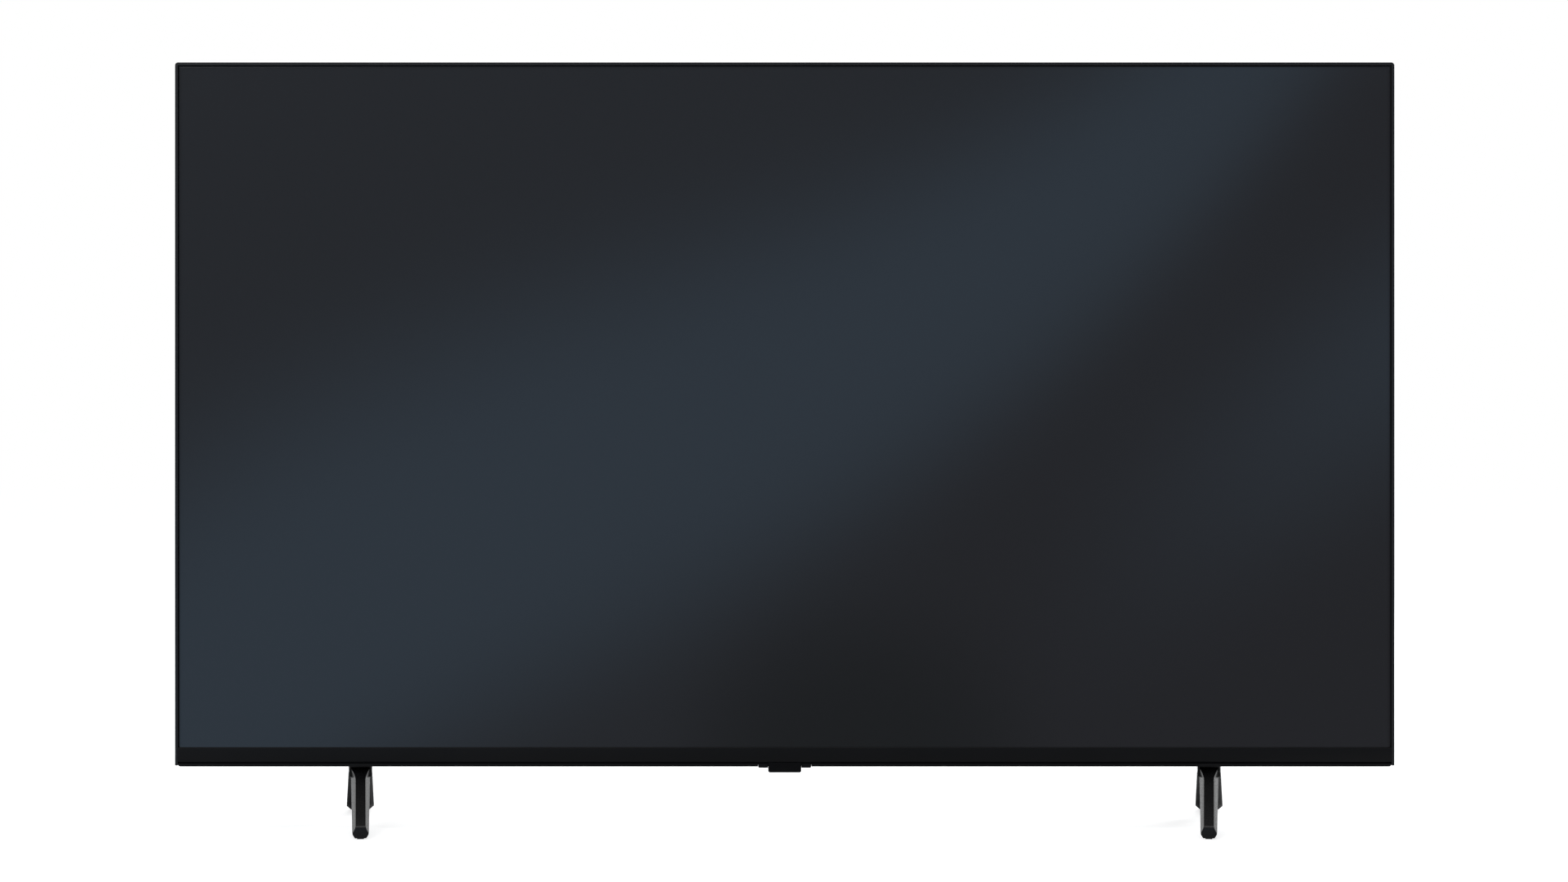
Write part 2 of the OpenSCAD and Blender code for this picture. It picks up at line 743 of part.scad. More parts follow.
module slot_row(n, z0, z1, y0, y1) {
    for (i = [0:n - 1])
        translate([(i - (n - 1) / 2) * vent_pitch, 0, 0])
            box([-vent_w / 2, y0, z0], [vent_w / 2, y1, z1]);
}

// Outline of the terminal bay, grown by t
function bay_outline(t) = [[bay_x0 - t, bay_z0 - t], [bay_x1 + t, bay_z0 - t], [bay_x1 + t, term_z + t],
    [term_x + t, term_z + t], [term_x + t, bay_z1 + t], [bay_x0 - t, bay_z1 + t]];

function inlet_outline(t) = [[inlet_x - t, inlet_z - inlet_h / 2 - t], [inlet_x + inlet_w + t, inlet_z - inlet_h / 2 - t],
    [inlet_x + inlet_w + t, inlet_z + inlet_h / 2 + t], [inlet_x - t, inlet_z + inlet_h / 2 + t]];

module foot_place(side) {
    mirror([side < 0 ? 1 : 0, 0, 0]) translate([foot_x, 0, 0]) rotate([0, 0, -foot_turn]) children();
}

// Place of the outside of the cover behind a point on it
function cover_skin(at) = abs(at.x) < bulge_x1 && at.y < bulge_z1 ? deep_y : slim_y;

module rear_cover() {
    seat_z = inlet_z - 35;
    color("#18181a") place() {
        difference() {
            union() {
                difference() {
                    cover_form(0);
                    cover_form(wall);
                }
                // Screw wells that reach forward to the pan
                intersection() {
                    for (at = cover_screws_at) rod_y(at.x, at.y, board_y0, deep_y, boss_r);
                    union() {
                        cover_form(0);
                        box([-set_w, 0, wall], [set_w, slim_y - wall, slim_z - wall]);
                    }
                }
            }
            for (at = cover_screws_at) {
                rod_y(at.x, at.y, seat_y, deep_y + over, well_r);
                rod_y(at.x, at.y, board_y0 - over, seat_y + over, screw_r + 0.25);
            }
            // Wall mount holes
            for (sx = [-1, 1]) for (sz = [-1, 1])
                rod_y(sx * wall_pitch / 2, wall_z + sz * wall_pitch / 2, tray_y1 - over, deep_y + over,
                    post_r + 0.6);
            along_y(tray_y1 - over, deep_y + over) polygon(bay_outline(0));
            along_y(tray_y1 - over, deep_y + over) polygon(inlet_outline(0));
            // Vent slots along the upper slope and low on the back
            slot_row(vent_top_n, bulge_z1 + 4, bulge_z1 + 4 + vent_h, slim_y + 2, deep_y + over);
            slot_row(vent_low_n, speaker_z0 + 26, speaker_z0 + 26 + vent_h, tray_y1 - over, deep_y + over);
            // Shallow marks that point at the screw wells, and a bare seat for a plate
            for (at = cover_screws_at) {
                z = at.y - well_r - 4;
                along_y(cover_skin(at) - 0.7, deep_y + over) polygon([[at.x - 3, z - 5], [at.x + 3, z - 5], [at.x, z]]);
            }
            along_y(deep_y - 0.7, deep_y + over)
                polygon(rounded([[145, seat_z], [265, seat_z], [265, seat_z + 70], [145, seat_z + 70]], [4, 4, 4, 4]));
            // Sound slots, screw holes and peg holes in the underside
            mirror_pair() for (i = [0:sound_n - 1])
                translate([driver_x + (i - (sound_n - 1) / 2) * 4.2, driver_y, 0])
                    box([-sound_w / 2, -cone_r, -over], [sound_w / 2, cone_r, wall + over]);
            for (side = [-1, 1]) foot_place(side) {
                for (v = foot_screw_v) rod_z(0, v, -over, wall + over, foot_screw_r + 0.35);
                rod_z(0, peg_v, -over, wall + over, peg_r + 0.3);
            }
        }
        // Tongue that locates the cover inside the frame
        difference() {
            box([-lip_x + fit, frame_y1 - tongue_l, rail_h + fit], [lip_x - fit, frame_y1 + wall, lip_z - fit]);
            box([-lip_x + fit + tongue_t, frame_y1 - tongue_l - over, rail_h + fit + tongue_t],
                [lip_x - fit - tongue_t, frame_y1 + wall + over, lip_z - fit - tongue_t]);
        }
    }
}

// Screw along Y with a crossed recess in its head
module screw_y(x, z, y_seat, len) {
    difference() {
        union() {
            rod_y(x, z, y_seat - len, y_seat + 0.01, screw_r);
            rod_y(x, z, y_seat, y_seat + head_h, head_r);
        }
        for (a = [0, 90]) translate([x, y_seat + head_h, z]) rotate([0, a, 0])
            cube([head_r, 2 * head_h - 2, 0.8], center = true);
    }
}

module cover_screws() {
    color("#3c3c3e") place() for (at = cover_screws_at) screw_y(at.x, at.y, seat_y, seat_t + 4.5);
}

module board_screws() {
    color("#b4b6b8") place() for (at = board_screws_at) screw_y(at.x, at.y, board_y1, board_t + 3.4);
}

// Opening in the side wall of the tray for a socket
module side_hole(z, half, h) {
    box([term_x - over, board_y1 - over, z - half - socket_fit],
        [term_x + tray_t + over, board_y1 + h + socket_fit, z + half + socket_fit]);
}

module down_hole(x, half, h) {
    box([x - half - socket_fit, board_y1 - over, term_z - over],
        [x + half + socket_fit, board_y1 + h + socket_fit, term_z + tray_t + over]);
}

video_half = 7.5;
video_h = 6;
data_half = 6.8;
data_h = 6.6;
phone_half = 3.5;
phone_h = 7;
card_half = card_w / 2 + 2;
card_case_h = card_h + 3.8;
lan_half = 8;
lan_h = 13.5;
optical_half = 4.9;
optical_h = 9.8;

module terminal_tray() {
    color("#1b1b1d") place() difference() {
        along_y(tray_y0, tray_y1) polygon(bay_outline(tray_t));
        along_y(tray_y0 + 1.6, tray_y1 + over) polygon(bay_outline(0));
        side_hole(phone_z, phone_half, phone_h);
        for (i = [0:video_n - 1]) side_hole(video_z0 + i * socket_pitch, video_half, video_h);
        for (i = [0:data_n - 1]) side_hole(data_z0 + i * data_pitch, data_half, data_h);
        side_hole(card_z, card_half, card_case_h);
        down_hole(lan_x, lan_half, lan_h);
        down_hole(optical_x, optical_half, optical_h);
        for (s = [-1, 1])
            rod_z(tuner_x + s * aerial_gap / 2, board_y1 + aerial_y, term_z - over, term_z + tray_t + over,
                aerial_r + socket_fit);
    }
}

module inlet_tray() {
    color("#1b1b1d") place() difference() {
        along_y(tray_y0, tray_y1) polygon(inlet_outline(tray_t));
        along_y(tray_y0 + 1.6, tray_y1 + over) polygon(inlet_outline(0));
        box([inlet_x - tray_t - over, board_y1 - over, inlet_z - 11 - socket_fit],
            [inlet_x + over, board_y1 + 13 + socket_fit, inlet_z + 11 + socket_fit]);
    }
}

module board(x0, z0, x1, z1, holes) {
    difference() {
        box([x0, board_y0, z0], [x1, board_y1, z1]);
        for (at = holes) rod_y(at.x, at.y, board_y0 - over, board_y1 + over, screw_r + 0.25);
    }
}

// Chips and small parts soldered to a board: place and size each
module chips(list) {
    for (c = list)
        box([c[0], board_y1 - 0.2, c[1]], [c[0] + c[2], board_y1 + c[4], c[1] + c[3]]);
}

heat_x = main_x0 + 112;
heat_z = main_z0 + 88;
heat_w = 60;
heat_h = 52;
soc_h = 2.4;
plug_z = main_z0 + 126;

module main_board() {
    color("#1f5a36") place() {
        board(main_x0, main_z0, main_x1, main_z1, main_screws_at);
        chips([[heat_x + 14, heat_z + 10, 32, 32, soc_h], [heat_x - 6, heat_z + 62, 12, 14, 1.6],
            [heat_x + 10, heat_z + 62, 12, 14, 1.6], [heat_x + 26, heat_z + 62, 12, 14, 1.6],
            [heat_x + 72, heat_z + 10, 16, 16, 6], [heat_x + 72, heat_z - 22, 18, 12, 4],
            [main_x1 - 12, main_z0 + 30, 8, 22, 3], [main_x1 - 12, plug_z - 12, 8, 24, 5]]);
    }
}

module main_heatsink() {
    fins = 10;
    fin_t = 1.4;
    fin_h = 14;
    y0 = board_y1 + soc_h;
    color("#c4c8cc") place() {
        box([heat_x, y0, heat_z], [heat_x + heat_w, y0 + 2.5, heat_z + heat_h]);
        for (i = [0:fins - 1])
            translate([heat_x + i * (heat_w - fin_t) / (fins - 1), 0, 0])
                box([0, y0 + 2, heat_z], [fin_t, y0 + fin_h, heat_z + heat_h]);
    }
}

module tuner() {
    z0 = term_z + tray_t + 0.4;
    color("#b4b6b8") place() difference() {
        union() {
            box([tuner_x - 22, board_y1, z0], [tuner_x + 22, board_y1 + 14, z0 + 38]);
            for (s = [-1, 1])
                rod_z(tuner_x + s * aerial_gap / 2, board_y1 + aerial_y, term_z - aerial_l, z0 + 1, aerial_r);
        }
        for (s = [-1, 1])
            rod_z(tuner_x + s * aerial_gap / 2, board_y1 + aerial_y, term_z - aerial_l - over, term_z - 2, 1.3);
        // Stiffening grooves pressed into the can
        for (k = [10, 20, 30])
            box([tuner_x - 18, board_y1 + 13.4, z0 + k], [tuner_x + 18, board_y1 + 15, z0 + k + 3]);
    }
}

module video_sockets() {
    x0 = term_x - socket_proud;
    color("#c8cacc") place() for (i = [0:video_n - 1])
        translate([x0, board_y1, video_z0 + i * socket_pitch]) {
            difference() {
                box([0, 0, -video_half], [12.5, video_h, video_half]);
                along_x(-over, 9.5) polygon([[0.7, -5.6], [2.3, -7], [5.3, -7], [5.3, 7], [2.3, 7], [0.7, 5.6]]);
            }
            box([1.5, 2.9, -5.6], [10, 3.8, 5.6]);
        }
}

module data_sockets() {
    x0 = term_x - socket_proud;
    color("#c8cacc") place() for (i = [0:data_n - 1])
        translate([x0, board_y1, data_z0 + i * data_pitch]) {
            difference() {
                box([0, 0, -data_half], [14, data_h, data_half]);
                box([-over, 0.7, -6.2], [11.5, data_h - 0.7, 6.2]);
            }
            box([1, 3.4, -5.6], [12, 5.2, 5.6]);
        }
}

module lan_socket() {
    z0 = term_z - socket_proud;
    color("#c2c4c6") place() translate([lan_x, board_y1, z0]) difference() {
        box([-lan_half, 0, 0], [lan_half, lan_h, 19]);
        box([-5.9, 2.2, -over], [5.9, 10.6, 13]);
        box([-3.1, 10, -over], [3.1, 12.4, 13]);
    }
}

module optical_socket() {
    z0 = term_z - socket_proud;
    color("#202022") place() translate([optical_x, board_y1, z0]) difference() {
        box([-optical_half, 0, 0], [optical_half, optical_h, 13]);
        box([-3.3, 1.6, -over], [3.3, 8.2, 8]);
    }
}

module headphone_socket() {
    x0 = term_x - socket_proud;
    color("#202022") place() translate([x0, board_y1, phone_z]) difference() {
        box([0, 0, -phone_half], [15, phone_h, phone_half]);
        rod_x(phone_h / 2, 0, -over, 15 + over, phone_r);
    }
}

module card_slot() {
    x0 = term_x - socket_proud;
    card_l = 66;
    color("#2b2b2d") place() translate([x0, board_y1, card_z]) difference() {
        box([0, 0, -card_half], [card_l, card_case_h, card_half]);
        box([-over, 1.6, -card_w / 2], [card_l - 4, 1.6 + card_h, card_w / 2]);
    }
}

module power_board() {
    color("#b58a4a") place() {
        board(psu_x0, main_z0, psu_x1, psu_z1, psu_screws_at);
        chips([[psu_x0 + psu_w * 0.11, psu_z1 - psu_h * 0.23, 18, 12, 10],
            [psu_x1 - psu_w * 0.25, main_z0 + psu_h * 0.48, 24, 14, 16],
            [psu_x0 + psu_w * 0.32, main_z0 + psu_h * 0.08, 26, 10, 6], [psu_x0 + 4, plug_z - 12, 8, 24, 5]]);
    }
}

// Wound transformers: a ferrite core around a bobbin
module transformers() {
    color("#d2b53a") place() for (k = [0, 1])
        translate([psu_x0 + psu_w * (0.245 + 0.3 * k), board_y1, main_z0 + psu_h * 0.38]) {
            box([-14, 0, -16], [14, 4, 16]);
            box([-17, 3, -11], [17, 24, 11]);
            rod_y(0, 0, 3, 26, 12.5);
        }
}

module capacitors() {
    color("#23262e") place() for (k = [0:2])
        translate([psu_x1 - 24 - k * 26, board_y1, psu_z1 - 32]) difference() {
            union() {
                rod_y(0, 0, 0, 32, 9);
                rod_y(0, 0, 0, 3, 9.6);
            }
            // Pressed vent cross in the end
            for (a = [0, 90]) translate([0, 32, 0]) rotate([0, a, 0]) cube([12, 1, 0.8], center = true);
        }
}

module power_heatsinks() {
    fin_n = 7;
    color("#c4c8cc") place() for (k = [0, 1])
        translate([psu_x0 + psu_w * (0.117 + 0.35 * k), board_y1, main_z0 + psu_h * 0.594]) {
            box([0, 0, 0], [52, 30, 3]);
            for (i = [0:fin_n - 1]) translate([i * 50 / (fin_n - 1), 0, 2]) box([0, 0, 0], [2, 30, 8]);
        }
}

module mains_inlet() {
    pin_gap = 8.6;
    y = 6.5;
    color("#202022") place() translate([inlet_x + socket_proud, board_y1, inlet_z]) {
        difference() {
            box([-24, 0, -11], [0, 13, 11]);
            for (s = [-1, 1]) rod_x(y, s * pin_gap / 2, -13, over, 4.1);
            box([-13, y - 4.1, -pin_gap / 2], [over, y + 4.1, pin_gap / 2]);
        }
        for (s = [-1, 1]) rod_x(y, s * pin_gap / 2, -14, -3, 1.2);
    }
}

module timing_board() {
    color("#1f5a36") place() {
        board(-tcon_w / 2, tcon_z0, tcon_w / 2, tcon_z1, tcon_screws_at);
        chips([[-10, tcon_z0 + 20, 20, 20, 2], [-60, tcon_z0 + 16, 10, 10, 2], [44, tcon_z0 + 16, 12, 12, 3],
            [-70, tcon_z0 + 1, 44, 6, 2.4], [26, tcon_z0 + 1, 44, 6, 2.4]]);
    }
}

// Flat cables: two up to the timing board and one across to the main board
module ribbon_cables() {
    y0 = board_y0 + 0.5;
    y1 = y0 + 0.4;
    drop_y = pan_y1 + 0.3;
    source_z1 = source_z0 + source_h;
    color("#d8d8d4") place() {
        mirror_pair() along_x(source_x0 + 6, source_x0 + 42)
            polygon([[drop_y, source_z1], [drop_y + 0.4, source_z1], [drop_y + 0.4, tcon_z0 - 9],
                [y1, tcon_z0], [y0, tcon_z0], [drop_y, tcon_z0 - 8.6]]);
        along_y(y0, y1) polygon([[-66, tcon_z1], [-40, tcon_z1], [-40, main_z0 + 52], [main_x1, main_z0 + 52],
            [main_x1, main_z0 + 26], [-66, main_z0 + 26]]);
    }
}

// Flat lead along a list of square turns, w wide, lying on the boards
module lead(pts, w) {
    h = [w / 2, w / 2];
    along_y(board_y1, board_y1 + 2) for (i = [0:len(pts) - 2])
        translate([min(pts[i].x, pts[i + 1].x), min(pts[i].y, pts[i + 1].y)] - h)
            square([abs(pts[i].x - pts[i + 1].x), abs(pts[i].y - pts[i + 1].y)] + 2 * h);
}

module wire_leads() {
    w = 2.4;
    z = speaker_z1 + 12;
    gap = 1;
    step = w + gap;
    // The leads pass the wall mount post, then step aside around the timing board where it is wider
    high_x = -wall_pitch / 2 + post_r + 1.6 + w / 2;
    low_x = min(high_x, -tcon_w / 2 - 0.6 - w / 2 - step);
    light_x = psu_x0 + psu_w * 0.38;
    color("#2c2c30") place() {
        // Power lead between the plugs of the two boards
        along_y(board_y1, board_y1 + 2) polygon([[main_x1 - 4, plug_z - 9], [psu_x0 + 4, plug_z - 9],
            [psu_x0 + 4, plug_z + 9], [main_x1 - 4, plug_z + 9]]);
        // Speaker leads from the foot of the main board
        lead([[main_x1 - 6, main_z0 + 18], [high_x, main_z0 + 18], [high_x, tcon_z1 + 2 * step],
            [low_x, tcon_z1 + 2 * step], [low_x, z], [-speaker_x - 14, z],
            [-speaker_x - 14, speaker_z1 + w / 2]], w);
        lead([[main_x1 - 6, main_z0 + 23], [high_x + step, main_z0 + 23], [high_x + step, tcon_z1 + step],
            [low_x + step, tcon_z1 + step], [low_x + step, z + 7], [speaker_x + 14, z + 7],
            [speaker_x + 14, speaker_z1 + w / 2]], w);
        // Light strip lead from the power board into the pan
        along_x(light_x, light_x + 5) polygon([[pan_y1, main_z0 - 12], [board_y1, main_z0 - 12],
            [board_y1, main_z0], [board_y0, main_z0], [board_y0, main_z0 - 10.4], [pan_y1, main_z0 - 10.4]]);
    }
}

module speaker_box() {
    t = speaker_t;
    color("#1c1c1e") place() difference() {
        along_z(speaker_z0, speaker_z1)
            polygon(rounded([[speaker_x, speaker_y0], [speaker_x + speaker_w, speaker_y0],
                [speaker_x + speaker_w, speaker_y0 + speaker_d], [speaker_x, speaker_y0 + speaker_d]],
                [6, 6, 6, 6]));
        box([speaker_x + t, speaker_y0 + t, speaker_z0 + t],
            [speaker_x + speaker_w - t, speaker_y0 + speaker_d - t, speaker_z1 - t]);
        rod_z(driver_x, driver_y, speaker_z0 - over, speaker_z0 + t + over, driver_r - 2);
    }
}

module driver_place() {
    place() translate([driver_x, driver_y, 0]) children();
}

// Pressed basket with a flange below and a ring above that carries the magnet
module basket() {
    rim = driver_r - 2.3;
    t = 1;
    color("#2a2a2c") driver_place() rotate_extrude() polygon([
        [rim - t, speaker_z0 - flange_t], [driver_r, speaker_z0 - flange_t], [driver_r, speaker_z0],
        [rim, speaker_z0], [rim, speaker_z0 + 5], [coil_r + 5, magnet_z], [coil_r + 0.9, magnet_z],
        [coil_r + 0.9, magnet_z - t], [coil_r + 4.4, magnet_z - t], [rim - t, speaker_z0 + 4.6]]);
}

module magnet() {
    color("#8c9094") driver_place() rotate_extrude() polygon([
        [0, magnet_z], [coil_r - 0.8, magnet_z], [coil_r - 0.8, magnet_z + 9], [coil_r + 0.9, magnet_z + 9],
        [coil_r + 0.9, magnet_z], [coil_r + 7, magnet_z], [coil_r + 7, magnet_z + magnet_h - 1.5],
        [coil_r + 5.5, magnet_z + magnet_h], [0, magnet_z + magnet_h]]);
}

// Paper cone with its dust cap and voice coil tube
module cone() {
    t = 0.6;
    top = cone_z + cone_h;
    color("#33302c") driver_place() rotate_extrude() polygon([
        [cone_r, cone_z], [cone_r, cone_z + t], [coil_r + 0.3, top], [coil_r + 0.3, magnet_z + 5],
        [coil_r - 0.2, magnet_z + 5], [coil_r - 0.2, top + 0.2], [4, top - 1], [0, top - 1.6],
        [0, top - 2.2], [4, top - 1.7], [coil_r - 0.2, top - 0.8]]);
}

// Rubber roll between the cone and the basket
module surround() {
    r0 = cone_r + 0.25;
    r1 = driver_r - 2.3 - 1;
    mid = (r0 + r1) / 2;
    color("#1a1a1a") driver_place() rotate_extrude() polygon([
        [r0, cone_z], [r0, cone_z + 0.6], [mid, cone_z + 1.8], [r1, cone_z + 0.6], [r1, cone_z],
        [mid, cone_z + 1.2]]);
}

module left_speaker_box() {
    mirror([1, 0, 0]) speaker_box();
}

module right_speaker_box() {
    speaker_box();
}

module left_basket() {
    mirror([1, 0, 0]) basket();
}

module right_basket() {
    basket();
}

module left_magnet() {
    mirror([1, 0, 0]) magnet();
}

module right_magnet() {
    magnet();
}

module left_cone() {
    mirror([1, 0, 0]) cone();
}

module right_cone() {
    cone();
}

module left_surround() {
    mirror([1, 0, 0]) surround();
}

module right_surround() {
    surround();
}

module speaker_gaskets() {
    color("#3a3a3c") mirror_pair() driver_place() difference() {
        rod_z(0, 0, wall, wall + gasket_t, driver_r);
        rod_z(0, 0, wall - over, wall + gasket_t + over, driver_r - 3);
    }
}

// Dark housing let into the bottom rail around the sensor window
module sensor_housing() {
    half = sensor_w / 2;
    color("#0e0e0f") place() difference() {
        along_y(sensor_y0, sensor_y1)
            polygon(rounded([[-half, -sensor_drop], [half, -sensor_drop], [half, rail_h], [-half, rail_h]],
                [1.4, 1.4, 0, 0]));
        box([-window_w / 2 - fit, sensor_y0 - over, -sensor_drop - over],
            [window_w / 2 + fit, window_y1, rail_h + over]);
    }
}

module sensor_window() {
    half = window_w / 2;
    t = window_t;
    color("#101011") place() difference() {
        union() {
            along_y(window_y0, window_y1)
                polygon(rounded([[-half, -window_drop], [half, -window_drop], [half, rail_h - fit],
                    [-half, rail_h - fit]], [1.8, 1.8, 0, 0]));
            // Upper edge that laps in front of the shadow groove
            box([-half, window_y0, rail_h - over], [half, window_y0 + t, window_z1]);
        }
        box([-half + t, window_y0 + t, -window_drop + t], [half - t, window_y1 - t, rail_h + over]);
        rod_z(0, key_y, -window_drop - over, -window_drop + t + over, key_r + key_fit);
    }
}

// Small board across the sensor window, with the receiver, the lamp and two rests
module sensor_board() {
    half = window_w / 2 - window_t - fit;
    y0 = window_y0 + window_t + fit;
    y1 = window_y1 - window_t - fit;
    color("#1f5a36") place() {
        box([-half, y0, sensor_board_z], [half, y1, sensor_board_z + sensor_board_t]);
        for (s = [-1, 1])
            box([s * (half - 1) - 1, y0, -window_drop + window_t], [s * (half - 1) + 1, y1, sensor_board_z + 0.2]);
        box([-11.5, y0, -3], [-6, y0 + 3, sensor_board_z + 0.2]);
        rod_z(8.5, y0 + 2, -2.4, sensor_board_z + 0.2, 1.5);
    }
}

module tact_switch() {
    half = switch_w / 2;
    color("#c8cacc") place() translate([0, key_y, sensor_board_z - switch_h]) difference() {
        box([-half, -half, 0], [half, half, switch_h]);
        rod_z(0, 0, -over, 1.4, 1.8);
    }
}

// Push key with a retaining rim and a stem that reaches into the switch
module power_key() {
    rim_z = -window_drop + window_t + fit;
    color("#161617") place() translate([0, key_y, 0]) rotate_extrude() polygon([
        [0, -window_drop + 0.3], [key_r - 1.2, -window_drop], [key_r, -window_drop], [key_r, rim_z],
        [key_r + 0.9, rim_z], [key_r + 0.9, rim_z + key_rim_t], [1.5, rim_z + key_rim_t],
        [1.5, sensor_board_z - switch_h + 0.4], [0, sensor_board_z - switch_h + 0.4]]);
}

// Sloping cuts that leave a flat face along a leg, which widens in a curve towards its top
module leg_flanks(toe, top, face, steep) {
    d = top - toe;
    len = norm(d);
    far = 40;
    run = 22;
    stop = len - 5;
    flare = 4;
    n = 10;
    mirror_pair() translate([0, toe.x, toe.y]) rotate([atan2(d.y, d.x), 0, 0]) intersection() {
        along_y(-far, len)
            polygon([[face / 2 - 2 / steep, 2], [far, 2], [far, -steep * (far - face / 2)]]);
        along_z(-2 * far, 4)
            polygon(concat([[0, -far], [far, -far], [far, stop]],
                [for (i = [n:-1:0]) [face / 2 + flare * pow(i / n, 2), stop - run * (1 - i / n)]],
                [[0, stop - run]]));
    }
}

// Neck and wide rear leg, with a narrower ridged leg let into the front of the neck
module foot() {
    front = [-front_reach, sole_z + front_toe_h];
    rear = [rear_reach, sole_z + rear_toe_h];
    leg_top = [foot_y0 + 1.5, -1];
    tail = foot_y0 + 24;
    rear_pts = [[foot_y0, 0], [foot_y1, 0], rear, [rear_reach, sole_z], [rear_reach - sole_l, sole_z],
        [foot_y1 - 8, -arch_t], [foot_y0 + 2, -arch_t]];
    front_pts = [leg_top, [tail, -1], [tail, 0.6 - arch_t], [foot_y0 + 8, 0.6 - arch_t],
        [-front_reach + sole_l, sole_z], [-front_reach, sole_z], front];
    wide = max(front_toe_w, rear_toe_w);
    color("#101011") place() foot_place(1) difference() {
        union() {
            difference() {
                intersection() {
                    along_x(-wide, wide) polygon(rounded(rear_pts, [0, 0, 4, 1.5, 2, 14, 2]));
                    along_z(-foot_h - over, over)
                        polygon(rounded([[-neck_w / 2, foot_y0 - over], [neck_w / 2, foot_y0 - over],
                            [neck_w / 2, foot_y1 - 22], [rear_toe_w / 2 - 0.2, rear_reach - 26],
                            [rear_toe_w / 2, rear_reach], [-rear_toe_w / 2, rear_reach],
                            [-rear_toe_w / 2 + 0.2, rear_reach - 26], [-neck_w / 2, foot_y1 - 22]],
                            [0, 0, 0, 0, 3, 3, 0, 0]));
                }
                mirror([0, 1, 0]) leg_flanks([-rear.x, rear.y], [-foot_y1, 0], neck_w, 5);
            }
            difference() {
                intersection() {
                    along_x(-wide, wide) polygon(rounded(front_pts, [0, 0, 0, 14, 2, 1.5, 4]));
                    along_z(-foot_h - over, over)
                        polygon(rounded([[-front_toe_w / 2, -front_reach], [front_toe_w / 2, -front_reach],
                            [leg_w / 2, tail + over], [-leg_w / 2, tail + over]], [2, 2, 0, 0]));
                }
                leg_flanks(front, leg_top, leg_face, 1.9);
            }
        }
        // Sloping lower corners of both toes
        mirror_pair() {
            along_y(-front_reach - over, -front_reach + sole_l + 30)
                polygon([[front_toe_w / 2 + 0.1, sole_z + 3.8], [front_toe_w, sole_z + 3.8],
                    [front_toe_w, sole_z - 2], [front_toe_w / 2 - 2.5, sole_z - 0.1]]);
            along_y(rear_reach - sole_l - 24, rear_reach + over)
                polygon([[rear_toe_w / 2 - 0.4, sole_z + 4.4], [rear_toe_w, sole_z + 4.4],
                    [rear_toe_w, sole_z - 2], [rear_toe_w / 2 - 4.6, sole_z - 0.1]]);
        }
        for (v = foot_screw_v) {
            rod_z(0, v, -arch_t - over, over, foot_screw_r + 0.25);
            rod_z(0, v, -arch_t - over, -arch_t / 2, foot_head_r + 0.5);
        }
        pad_holes();
    }
    color("#101011") place() foot_place(1) rod_z(0, peg_v, -over, peg_h, peg_r);
}

// Seats for the rubber pads in both soles
module pad_holes() {
    in = 0.15;
    for (p = pad_boxes()) box(p[0] - [in, in, over], p[1] + [in, in, 0]);
}

function pad_boxes() = [
    [[-front_toe_w / 2 + 4.4, -front_reach + 3, -foot_h],
        [front_toe_w / 2 - 4.4, -front_reach + sole_l - 2, -foot_h + pad_t]],
    [[-rear_toe_w / 2 + 7.4, rear_reach - sole_l + 2.5, -foot_h],
        [rear_toe_w / 2 - 7.4, rear_reach - 3, -foot_h + pad_t]]];

module left_foot() {
    mirror([1, 0, 0]) foot();
}

module right_foot() {
    foot();
}

module foot_pads() {
    color("#2a2a2b") place() for (side = [-1, 1]) foot_place(side)
        for (p = pad_boxes()) box(p[0], p[1]);
}

// Place over the right foot of a point v along it
function foot_at(v) = [foot_x + v * sin(foot_turn), v * cos(foot_turn)];

// Steel brackets inside the cover that take the foot screws and carry the pan
module foot_brackets() {
    tall = source_z0 + source_h + 24;
    tab = 14;
    y0 = pan_y1 + 3;
    half = 13;
    x = foot_at(peg_v).x;
    color("#a4a8ac") place() mirror_pair() difference() {
        union() {
            box([x - half, y0, wall], [x + half, y0 + 2, tall]);
            box([x - half, pan_y1, tall - tab], [x + half, y0 + 2, tall]);
            box([x - half, y0, wall], [x + half, foot_y1 - 2, wall + 3]);
            for (v = foot_screw_v) rod_z(foot_at(v).x, foot_at(v).y, wall + 1, wall + 12, 5);
        }
        for (v = foot_screw_v)
            rod_z(foot_at(v).x, foot_at(v).y, wall - over, wall + 12 + over, foot_screw_r + 0.1);
        rod_z(foot_at(peg_v).x, foot_at(peg_v).y, wall - over, wall + 3 + over, peg_r + 0.3);
    }
}

module foot_screws() {
    head_z = -arch_t / 2;
    color("#3c3c3e") place() for (side = [-1, 1]) foot_place(side) for (v = foot_screw_v) translate([0, v, 0])
        difference() {
            union() {
                rod_z(0, 0, head_z - 0.01, wall + 11, foot_screw_r);
                rod_z(0, 0, head_z - 3, head_z, foot_head_r);
            }
            for (a = [0, 90]) translate([0, 0, head_z - 3]) rotate([0, 0, a])
                cube([foot_head_r, 0.9, 3], center = true);
        }
}

front_frame();
bottom_rail();
bottom_bezel();
lcd_cell();
cell_tape();
driver_films();
source_boards();
prism_sheet();
diffuser_sheet();
diffuser_plate();
reflector_sheet();
diffuser_supports();
led_strips();
led_lenses();
back_pan();
wall_mount_posts();
rear_cover();
cover_screws();
terminal_tray();
inlet_tray();
main_board();
main_heatsink();
tuner();
video_sockets();
data_sockets();
lan_socket();
optical_socket();
headphone_socket();
card_slot();
power_board();
transformers();
capacitors();
power_heatsinks();
mains_inlet();
timing_board();
ribbon_cables();
wire_leads();
board_screws();
left_speaker_box();
right_speaker_box();
left_basket();
right_basket();
left_magnet();
right_magnet();
left_cone();
right_cone();
left_surround();
right_surround();
speaker_gaskets();
sensor_housing();
sensor_window();
sensor_board();
tact_switch();
power_key();
left_foot();
right_foot();
foot_brackets();
foot_screws();
foot_pads();
